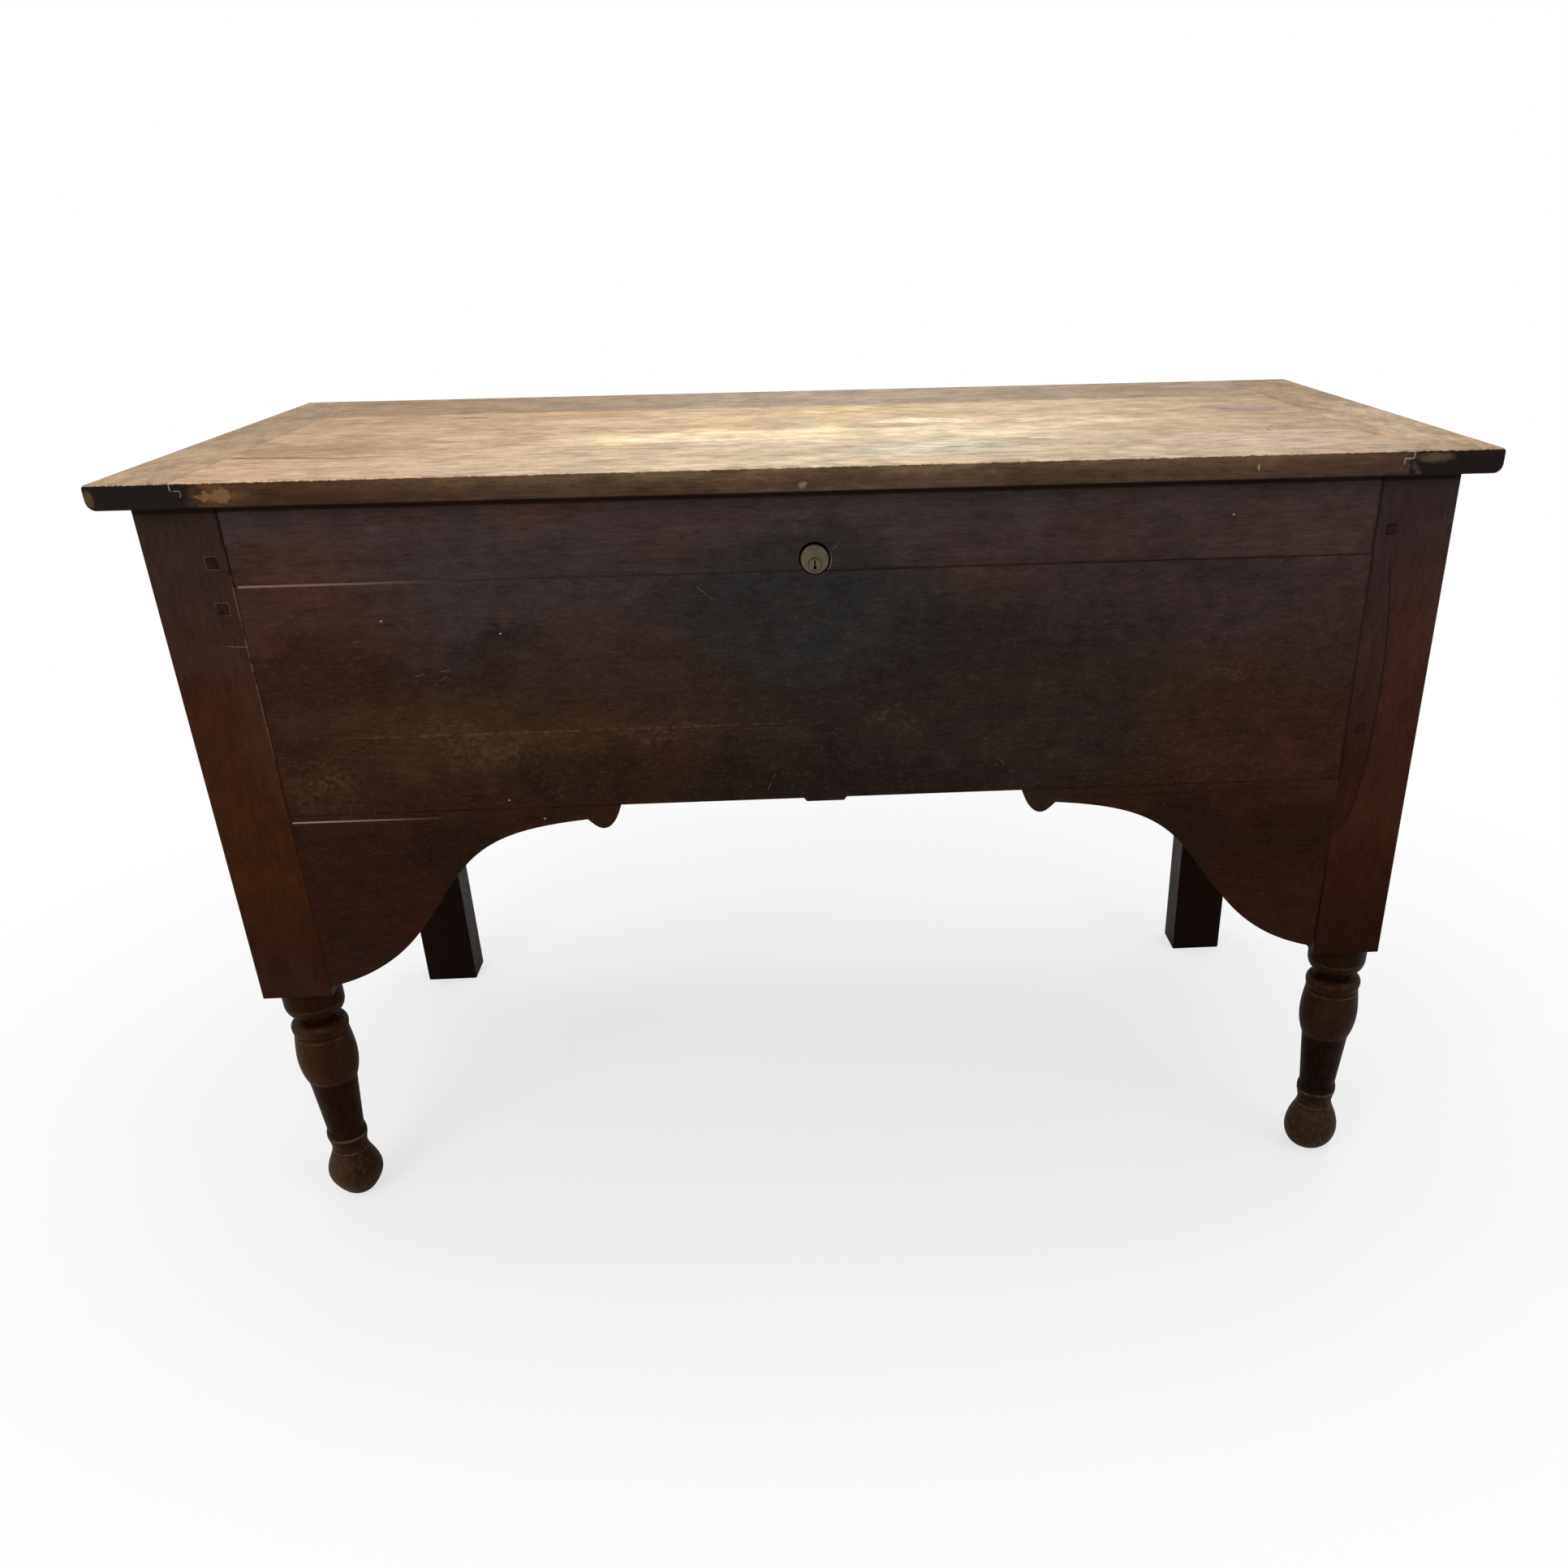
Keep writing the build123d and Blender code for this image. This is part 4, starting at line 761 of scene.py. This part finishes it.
def top_tone(tree, x, y, spot):
    """Three boards and two ends, each with its own tone, then the washes over them all."""
    share = width_share(tree, x)
    middle_board = node(tree, "ValToRGB", share, stops=MIDDLE_BOARD_TONES)
    back_board = node(tree, "ValToRGB", share, stops=BACK_BOARD_TONES)
    tone = node(tree, "ValToRGB", share, stops=FRONT_BOARD_TONES)
    tone = paint(tree, tone, middle_board, (y, front_seam - 0.02, front_seam + 0.02))
    ragged = node(tree, "Math", cloud(tree, spot, 30), 0.03, y, operation="MULTIPLY_ADD")
    tone = paint(tree, tone, back_board, (ragged, back_seam + 0.035, back_seam + 0.06))
    depth = (1 / lid_depth, -lid_low.y / lid_depth)
    depth = node(tree, "Math", y, *depth, operation="MULTIPLY_ADD")
    left_end = mask(tree, (x, left_joint + 0.001, left_joint - 0.001))
    right_end = mask(tree, (x, right_joint - 0.001, right_joint + 0.001))
    ends = node(tree, "ValToRGB", depth, stops=END_TONES)
    tone = paint(tree, tone, ends, any_of(tree, left_end, right_end))
    return wash(tree, tone, node(tree, "CombineXYZ", x, y), TOP_WASHES, 1.0, 0.12)


# %% [markdown]
# ## What has happened to the top
#
# Two joints have opened a little at the left, a knock has left a dark spot near the front, and a
# curved check runs round a swirl of figure at the right.

# %% Marks on the top, by width and depth in metres

CRACKS = [
    ((-0.604, front_seam - 0.010), (-0.520, front_seam - 0.026)),
    ((-0.520, front_seam - 0.026), (-0.470, front_seam - 0.036)),
    ((-0.427, back_seam - 0.010), (-0.400, back_seam - 0.012)),
]
CREASES = [
    ((-0.595, back_seam - 0.005), (-0.500, back_seam - 0.012)),
    ((-0.300, -0.064), (-0.150, -0.068)),
    ((0.080, -0.070), (0.270, -0.066)),
    ((-0.270, -0.200), (-0.140, -0.210)),
]
CHECK = [
    (0.504, -0.193),
    (0.508, -0.172),
    (0.517, -0.156),
    (0.532, -0.143),
    (0.556, -0.132),
    (0.590, -0.128),
]
knock_place, knock_size = (0.152, -0.253), (0.014, 0.008)


def mark_top(tree, colour, spot, x, y):
    """Cracks, creases, the check, the knock, and the joints of the two ends."""
    top = node(tree, "CombineXYZ", x, y)
    broken = mask(tree, (cloud(tree, spot, 9, length=3), 0.36, 0.50))
    bent = wander(tree, top, 0.006, 12)
    cracks = strokes(tree, bent, CRACKS, half=0.0015, soft=0.0028)
    colour = paint(tree, colour, "#3a2a1d", cracks, 0.9)
    creases = strokes(tree, bent, CREASES, half=0.0010, soft=0.0050)
    colour = paint(tree, colour, "#6e543c", creases, broken, 0.45)
    check = strokes(tree, bent, list(zip(CHECK, CHECK[1:])), half=0.0006, soft=0.0016)
    colour = paint(tree, colour, "#6e523c", check, 0.6)
    knock = patch(tree, wander(tree, top, 0.02, 10), knock_place, knock_size, soft=0.6)
    colour = paint(tree, colour, "#7d7465", knock, 0.7)
    joints = [band(tree, x, joint, 0.0003, 0.0010) for joint in (left_joint, right_joint)]
    return paint(tree, colour, "#6b533d", any_of(tree, *joints), broken, 0.2)


# %% Blotches


def blotch_top(tree, colour, spot, along, seed):
    """Pale and dark flakes of old varnish, and stains with ragged rims."""
    stains = cloud(tree, spot, 55, along, length=1.5, detail=7, shift=seed + 6)
    flakes = cloud(tree, spot, 12, along, length=2.6, detail=7, shift=seed + 7)
    pale_stains = mask(tree, (stains, 0.40, 0.60))
    pale_flakes = mask(tree, (flakes, 0.42, 0.62))
    dark_flakes = mask(tree, (flakes, 0.50, 0.36))
    blotches = pale_stains, pale_flakes, stains, dark_flakes
    return shade(tree, colour, blotches, (0.20, 0.20, 0.22, 0.12))


# %% [markdown]
# ## The lid's edge
#
# Sleeves and hands have rubbed the stain thin just under the upper arris, so the edge is lighter
# there and darker towards its lower side. A chip by the left joint shows raw wood.

# %% Stained edge and underside, by share of the lid's width

EDGE_HIGH_TONES = [(0.08, "#3a2619"), (0.50, "#665340"), (0.93, "#423128")]
EDGE_LOW_TONES = [(0.08, "#2b1b12"), (0.50, "#4d3d30"), (0.93, "#3c2c25")]


def lid_edge(tree, x, z, wood, clouds):
    """Lighter high and darker low, clouded, and a painted shadow where it meets the case."""
    share = width_share(tree, x)
    high = node(tree, "ValToRGB", share, stops=EDGE_HIGH_TONES)
    colour = node(tree, "ValToRGB", share, stops=EDGE_LOW_TONES)
    colour = paint(tree, colour, high, (z, lid_top - 0.016, lid_top - 0.004))
    colour = paint(tree, colour, "#2f2018", (clouds, 0.50, 0.38), 0.45)
    colour = paint(tree, colour, "#755a40", (clouds, 0.54, 0.68), 0.25)
    # painted shadow along the lower edge, where the lid meets the case
    colour = paint(tree, colour, "#1c1511", (z, case_top + 0.002, case_top + 0.0005), 0.5)
    return shade(tree, colour, wood, (1.4, 0.8, 0.9, 0.3))


# %% Dirt and chips on the edge

EDGE_CHIP = [((-0.562, 0.8680), (0.009, 0.0065), 0.1), ((-0.574, 0.8670), (0.018, 0.0036), 0.3)]
EDGE_SPOTS = [
    ((0.622, 0.8735), (0.024, 0.006), "#564637"),
    ((-0.007, 0.8635), (0.006, 0.004), "#7a6b5a"),
    ((-0.688, 0.868), (0.006, 0.010), "#544530"),
    ((0.445, 0.868), (0.002, 0.004), "#8f8474"),
]


def mark_edge(tree, colour, spot, x, y, z):
    """Dirt on the two ends, the chip beside it, and spots rubbed bare."""
    edge = node(tree, "CombineXYZ", x, z)
    front, torn = wander(tree, edge, 0.008, 8), wander(tree, edge, 0.018, 6)
    on_front = mask(tree, (y, lid_low.y + 0.006, lid_low.y + 0.003))
    rag = cloud(tree, spot, 12, detail=4)
    rag = node(tree, "Math", rag, 0.05, x, operation="MULTIPLY_ADD")
    left_dirt = mask(tree, (rag, left_joint + 0.060, left_joint + 0.035))
    right_dirt = mask(tree, (rag, right_joint + 0.020, right_joint + 0.030))
    dirt = any_of(tree, left_dirt, right_dirt)
    colour = paint(tree, colour, "#131213", dirt, on_front, 0.98)
    chip = [patch(tree, torn, middle, radii, soft) for middle, radii, soft in EDGE_CHIP]
    colour = paint(tree, colour, "#6c5037", any_of(tree, *chip), on_front, 0.85)
    for middle, radii, hex_colour in EDGE_SPOTS:
        rubbed = patch(tree, front, middle, radii, soft=0.6)
        colour = paint(tree, colour, hex_colour, rubbed, on_front, 0.7)
    return colour


print("chip and spots on the edge:", len(EDGE_CHIP), len(EDGE_SPOTS))

# %% [markdown]
# ## Filler round the tongues
#
# Each end is tongued over the boards. On the front its joint goes down to the tongue, along it and
# down its end, and someone filled it once with pale putty, which shrank and broke.

# %% Filler

tongue_top = (case_top + lid_top) / 2 + 0.0042
tongue_reach, tongue_drop = 0.009, 0.0055


def filler(tree, x, z):
    lines = []
    for joint, reach in ((left_joint, tongue_reach), (right_joint, -tongue_reach)):
        end = joint + reach
        lines += [
            ((joint, lid_top), (joint, tongue_top)),
            ((joint, tongue_top), (end, tongue_top)),
            ((end, tongue_top), (end, tongue_top - tongue_drop)),
        ]
    flat = wander(tree, node(tree, "CombineXYZ", x, z), 0.002, 5)
    return strokes(tree, flat, lines, half=0.0001, soft=0.0006)


# %% [markdown]
# ## Scrubbed walnut
#
# The lid's finish joins its two halves, the pale top and the stained edge. Where they meet, the
# wear has eaten into the arris unevenly, so the height at which one gives way to the other
# wanders by a millimetre.

# %% Finish of the lid

arris_wander, arris_height = 0.0030, lid_top - 0.0034


def scrubbed_walnut(name, along, seed):
    made, tree, shader, spot, x, y, z = new_finish("scrubbed_walnut_" + name)
    wood = grain(tree, spot, along, seed)
    clouds = cloud(tree, spot, 60, length=3, detail=5, shift=4)
    contrast = (0.6, 0.3, 0.6, 0.2) if name.startswith("lid_end") else (1.1, 0.45, 0.8, 0.25)
    top = blotch_top(tree, top_tone(tree, x, y, spot), spot, along, seed)
    top = mark_top(tree, shade(tree, top, wood, contrast), spot, x, y)
    edge = mark_edge(tree, lid_edge(tree, x, z, wood, clouds), spot, x, y, z)
    ragged = cloud(tree, spot, 4, length=2, detail=5, shift=2)
    arris = node(tree, "Math", ragged, arris_wander, arris_height, operation="MULTIPLY_ADD")
    above = node(tree, "Math", z, arris, operation="SUBTRACT")
    colour = paint(tree, edge, top, (above, 0.0, 0.0007))
    crumbs = mask(tree, (cloud(tree, spot, 3, shift=8), 0.48, 0.60))
    rim = band(tree, above, 0.0008, 0.0003, 0.0008)
    colour = paint(tree, colour, "#dccaa8", rim, crumbs, 0.4)
    old_filler = mask(tree, (cloud(tree, spot, 5), 0.36, 0.46))
    on_front = mask(tree, (y, lid_low.y + 0.004, lid_low.y + 0.002))
    colour = paint(tree, colour, "#b5a78f", filler(tree, x, z), old_filler, on_front, 0.9)
    finish_wood(tree, shader, colour, wood, sheen=0.6, gloss=0.09, depth=0.0003)
    return made


# %% [markdown]
# ## Bare pine and oak
#
# The floor, bearers and dividers were never stained. Their pine has only yellowed and gathered
# dust, so they stay pale beside the case. The pegs are oak, and their end grain drank the stain,
# so they show nearly black.

# %% Finish of the inside, and of the pegs


def bare_pine(name, along, seed):
    made, tree, shader, spot, *_ = new_finish("bare_pine_" + name)
    wood = grain(tree, spot, along, seed)
    clouds = cloud(tree, spot, 120, along, length=3, detail=4, shift=seed + 4)
    colour = bare_wood(tree, wood, clouds)
    finish_wood(tree, shader, colour, wood, sheen=0.65, gloss=0.2, depth=0.0003)
    return made


def stained_oak():
    made, tree, shader, spot, *_ = new_finish("stained_oak_end_grain")
    wood = grain(tree, spot, "Y", 31)
    streaks = cloud(tree, spot, 8, along="Z", length=2)
    colour = node(tree, "ValToRGB", streaks, stops=[(0.35, "#160e0a"), (0.65, "#261a14")])
    colour = shade(tree, colour, wood, (0.8, 0.4, 0.8, 0.5))
    finish_wood(tree, shader, colour, wood, sheen=0.6, gloss=0.09, depth=0.0003)
    return made


# %% [markdown]
# ## Brass and iron
#
# The lock's cylinder and plug are brass gone dull and olive, evenly, with a browner bloom round
# the keyway where keys have rubbed. Hinges, screws, nails and the lock behind the rail are
# wrought iron, dark, with a little rust.

# %% Finish of the lock's face


def finish_metal(tree, shader, colour, rough, relief, strength, depth):
    """A colour and a roughness, and a surface raised by its tarnish or scale."""
    bump = node(tree, "Bump", strength, depth)
    tree.links.new(relief, bump.node.inputs["Height"])
    tree.links.new(colour, shader.inputs["Base Color"])
    tree.links.new(rough, shader.inputs["Roughness"])
    tree.links.new(bump, shader.inputs["Normal"])


def dull_brass():
    made, tree, shader, spot, *_, z = new_finish("dull_brass")
    tarnish = cloud(tree, spot, 7, detail=4)
    colour = node(tree, "ValToRGB", tarnish, stops=[(0.3, "#413b2b"), (0.7, "#554d3b")])
    colour = paint(tree, colour, "#5a4b3f", (z, lock_z + 0.002, lock_z - 0.006), 0.6)
    rough = node(tree, "Math", tarnish, 0.25, 0.38, operation="MULTIPLY_ADD")
    finish_metal(tree, shader, colour, rough, tarnish, strength=0.3, depth=0.0001)
    shader.inputs["Metallic"].default_value = 0.6
    return made


# %% Finish of the ironwork


def wrought_iron():
    made, tree, shader, spot, *_ = new_finish("wrought_iron")
    scale_marks = cloud(tree, spot, 6, detail=5)
    rust = mask(tree, (cloud(tree, spot, 18, detail=4), 0.52, 0.66))
    colour = node(tree, "ValToRGB", scale_marks, stops=[(0.3, "#1f1c1a"), (0.7, "#4a4440")])
    colour = paint(tree, colour, "#4a2513", rust, 0.7)
    rough = node(tree, "Math", rust, 0.3, 0.45, operation="MULTIPLY_ADD")
    metallic = node(tree, "Math", rust, -0.8, 0.9, operation="MULTIPLY_ADD")
    tree.links.new(metallic, shader.inputs["Metallic"])
    finish_metal(tree, shader, colour, rough, scale_marks, strength=0.5, depth=0.0002)
    return made


# %% [markdown]
# ## Which finish goes where
#
# The model says what each piece is made of. What it doesn't say is which way the wood runs: along
# the length of every board, and up every post.

# %% Give every piece its finish

ALONG_Y = ("side_board", "side_rail", "floor_board", "divider_left", "divider_right", "lid_end")
ALONG_Z = ("front_post", "rear_post", "divider_guides", "bracket_block")


def grain_axis(name):
    if name.startswith(ALONG_Y) or name in ("floor_bearer_left", "floor_bearer_right"):
        return "Y"
    return "Z" if name.startswith(ALONG_Z) else "X"


brass = dull_brass()
iron = wrought_iron()
oak = stained_oak()
woods = {"lid_wood": scrubbed_walnut, "case_wood": waxed_walnut, "inner_wood": bare_pine}
metals = {"peg_wood": oak, "aged_brass": brass}
slots = {part["node"]: part["material_slot"] for part in frame["record"]["subparts"]}
for seed, name in enumerate(sorted(nodes)):
    slot = slots[name]
    finish = woods[slot](name, grain_axis(name), seed) if slot in woods else metals.get(slot, iron)
    nodes[name].data.materials.clear()
    nodes[name].data.materials.append(finish)
print("pieces with a finish:", len(nodes))

# %% [markdown]
# ## Whittled pegs
#
# Every joint is pinned by square pegs, split from oak and whittled with a knife, so no two sit
# quite alike. One peg is made from a square with eased corners, drawn out to its length and
# narrowed at the tip, and Geometry Nodes set a copy of it in each hole with a small turn of its
# own. The model's pegs say where the holes are.

# %% Where the pegs are


def solids(piece):
    """The lowest and highest corner of each separate solid in a piece."""
    form = bmesh.new()
    form.from_mesh(piece.data)
    bmesh.ops.remove_doubles(form, verts=form.verts, dist=1e-5)
    left, boxes = set(form.verts), []
    while left:
        reached, waiting = set(), [left.pop()]
        while waiting:
            vert = waiting.pop()
            reached.add(vert)
            fresh = {edge.other_vert(vert) for edge in vert.link_edges} & left
            left -= fresh
            waiting += fresh
        places = list(zip(*[vert.co for vert in reached]))
        boxes.append([Vector([pick(place) for place in places]) for pick in (min, max)])
    form.free()
    return boxes


middle = Vector((0.0, centre_y, 0.0))
roots, outward = [], []
for group in ("front_pegs", "back_pegs", "side_pegs"):
    for low, high in solids(nodes[group]):
        size = high - low
        axis = max(range(3), key=lambda i: size[i])
        centre = (low + high) / 2
        facing = Vector((0.0, 0.0, 0.0))
        facing[axis] = math.copysign(1.0, centre[axis] - middle[axis])
        peg_length, peg_width = size[axis], min(size)
        roots.append(centre - facing * peg_length / 2)
        outward.append(facing)
print("pegs:", len(roots), "long", peg_length, "wide", peg_width)

# %% What the peg tree is given

pegs = bpy.data.node_groups.new("whittled_pegs", "GeometryNodeTree")
pegs.interface.new_socket("Geometry", in_out="OUTPUT", socket_type="NodeSocketGeometry")
pegs.interface.new_socket("Holes", in_out="INPUT", socket_type="NodeSocketGeometry")
for label in ("Width", "Length", "Corner", "Tip", "Turn"):
    pegs.interface.new_socket(label, in_out="INPUT", socket_type="NodeSocketFloat")
pegs.interface.new_socket("Seed", in_out="INPUT", socket_type="NodeSocketInt")
pegs.interface.new_socket("Finish", in_out="INPUT", socket_type="NodeSocketMaterial")
given = node(pegs, "NodeGroupInput").node.outputs
print("inputs of the peg tree:", len(given) - 1)

# %% One peg

tip_share = 0.84  # of the peg's width
square = node(pegs, "GeometryNodeCurvePrimitiveQuadrilateral", given["Width"], given["Width"])
eased = node(pegs, "GeometryNodeFilletCurve", square, 3, given["Corner"], mode="POLY")
face = node(pegs, "GeometryNodeFillCurve", eased, mode="NGONS")
drawn = node(pegs, "GeometryNodeExtrudeMesh", face, None, None, given["Length"], False)
end = drawn.node.outputs["Top"]
tip = node(pegs, "GeometryNodeExtrudeMesh", drawn, end, None, given["Tip"], False)
narrowed = node(pegs, "GeometryNodeScaleElements", tip, tip.node.outputs["Top"], tip_share)
closed = node(pegs, "GeometryNodeJoinGeometry", narrowed)
pegs.links.new(node(pegs, "GeometryNodeFlipFaces", face), closed.node.inputs[0])
peg = node(pegs, "GeometryNodeMergeByDistance", closed)
print("nodes for one peg:", len(pegs.nodes) - 1)

# %% A peg in every hole

facing = node(pegs, "GeometryNodeInputNamedAttribute", "outward", data_type="FLOAT_VECTOR")
level = node(pegs, "FunctionNodeAlignRotationToVector", None, 1.0, facing, axis="Z")
most, draw = given["Turn"], given["Seed"]
least = node(pegs, "Math", most, -1.0, operation="MULTIPLY")
angle = node(pegs, "FunctionNodeRandomValue", least, most, None, draw, data_type="FLOAT")
turn = node(pegs, "FunctionNodeEulerToRotation", node(pegs, "CombineXYZ", 0.0, 0.0, angle))
turned = node(pegs, "FunctionNodeRotateRotation", level, turn, rotation_space="LOCAL")
placed = node(pegs, "GeometryNodeInstanceOnPoints", given["Holes"], None, peg, None, None, turned)
real = node(pegs, "GeometryNodeRealizeInstances", placed)
node(pegs, "NodeGroupOutput", node(pegs, "GeometryNodeSetMaterial", real, None, given["Finish"]))
print("nodes in the peg tree:", len(pegs.nodes))

# %% One plain mesh of all the pegs

holes = bpy.data.meshes.new("peg_holes")
holes.from_pydata([tuple(root) for root in roots], [], [])
directions = holes.attributes.new("outward", "FLOAT_VECTOR", "POINT")
for item, facing in zip(directions.data, outward):
    item.vector = facing
holder = bpy.data.objects.new("peg_holes", holes)
bpy.context.scene.collection.objects.link(holder)
whittle = holder.modifiers.new("whittle", "NODES")
whittle.node_group = pegs
tip_depth = 0.0008
amounts = {
    "Width": peg_width,
    "Length": peg_length - tip_depth,
    "Corner": 0.0016,
    "Tip": tip_depth,
    "Turn": math.radians(3.0),
    "Seed": 7,
    "Finish": oak,
}
for socket in pegs.interface.items_tree:
    if socket.in_out == "INPUT" and socket.name in amounts:
        whittle[socket.identifier] = amounts[socket.name]
depsgraph = bpy.context.evaluated_depsgraph_get()
made_pegs = bpy.data.meshes.new_from_object(holder.evaluated_get(depsgraph))
made_pegs.name = "whittled_pegs"
holder.modifiers.remove(whittle)
bpy.data.objects.remove(holder)
whittled_pegs = bpy.data.objects.new("whittled_pegs", made_pegs)
bpy.context.scene.collection.objects.link(whittled_pegs)
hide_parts("front_pegs", "back_pegs", "side_pegs")
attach(whittled_pegs, "case")
print("faces in the pegs:", len(made_pegs.polygons))

# %% [markdown]
# ## Floor, light and camera
#
# A plain white floor and soft light from above and in front, at a level where a colour shows
# about as it is written. For the camera's own rays the floor is part plain white, more so further
# out, which keeps it as pale as the backdrop and leaves the chest's shadow on it.

# %% Floor

scene = bpy.context.scene
bpy.ops.mesh.primitive_plane_add(size=40.0, location=(0, 0, 0))
floor = bpy.context.object
floor.name = "floor"
floor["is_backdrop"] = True
near, far, least_white = 0.6, 1.6, 0.62
made, tree, shader, spot, *_ = new_finish("pale_floor")
distance = node(tree, "VectorMath", spot, operation="LENGTH")
white_share = node(tree, "MapRange", distance, near, far, least_white, 1.0)
shader.inputs["Base Color"].default_value = (0.9, 0.9, 0.9, 1.0)
shader.inputs["Roughness"].default_value = 0.9
shader.inputs["Specular IOR Level"].default_value = 0.2
plain = node(tree, "Emission", (1, 1, 1, 1), 1.0)
seen = mask(tree, white_share, node(tree, "LightPath").node.outputs["Is Camera Ray"])
shown = node(tree, "MixShader", seen, shader.outputs[0], plain)
output = next(item for item in tree.nodes if item.type == "OUTPUT_MATERIAL")
tree.links.new(shown, output.inputs["Surface"])
floor.data.materials.append(made)
print("the floor turns white between", near, "and", far)

# %% World

world = bpy.data.worlds.new("studio")
scene.world = world
world.use_nodes = True
tree = world.node_tree
tree.nodes.clear()
paths = node(tree, "LightPath").node.outputs
shown_white = [paths[f"Is {kind} Ray"] for kind in ("Camera", "Glossy", "Transmission")]
ambient = 0.55  # what the surroundings give as light
strength = node(tree, "MapRange", any_of(tree, *shown_white), 0.0, 1.0, ambient, 1.0)
node(tree, "OutputWorld", node(tree, "Background", (1, 1, 1, 1), strength))
print("light from all round:", ambient)

# %% Lamps


def softbox(name, spot, target, size, power):
    lamp = bpy.data.lights.new(name, "AREA")
    lamp.shape = "RECTANGLE"
    lamp.size, lamp.size_y = size
    lamp.energy = power
    holder = bpy.data.objects.new(name, lamp)
    scene.collection.objects.link(holder)
    holder.location = spot
    holder.rotation_euler = (Vector(target) - Vector(spot)).to_track_quat("-Z", "Y").to_euler()


softbox("overhead", (0.1, 0.4, 3.0), (0.0, 0.0, 0.8), (2.4, 1.6), 34.0)
softbox("front_left", (-1.8, -2.8, 1.9), (0.0, 0.0, 0.5), (1.6, 1.6), 42.0)
softbox("front_right", (2.4, -2.2, 1.6), (0.0, 0.0, 0.5), (1.4, 1.4), 18.0)
print("lamps:", len(bpy.data.lights))

# %% Camera

eye = (-0.0051, front_y - 1.4716, 1.0836)
pitch, yaw, roll = 0.5158, 0.0498, -0.019  # radians down, to the right, and leaning
level = math.cos(pitch)
forward = Vector((math.sin(yaw) * level, math.cos(yaw) * level, -math.sin(pitch)))
side = Vector((math.cos(yaw), -math.sin(yaw), 0.0))
above = side.cross(forward)
turned_side = math.cos(roll) * side + math.sin(roll) * above
turned_above = -math.sin(roll) * side + math.cos(roll) * above
camera = bpy.data.objects.new("camera", bpy.data.cameras.new("camera"))
scene.collection.objects.link(camera)
turn = Matrix((turned_side, turned_above, -forward)).transposed().to_4x4()
camera.matrix_world = Matrix.Translation(eye) @ turn
camera.data.lens = 31.99
camera.data.sensor_width = 36.0
camera.data.shift_x = -0.0664
camera.data.shift_y = 0.147
scene.camera = camera
scene.view_settings.view_transform = "Standard"
print("camera at", eye, "with a lens of", camera.data.lens)

# %% Record the sizes and finish

low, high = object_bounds()
print("dressed box", low, high)
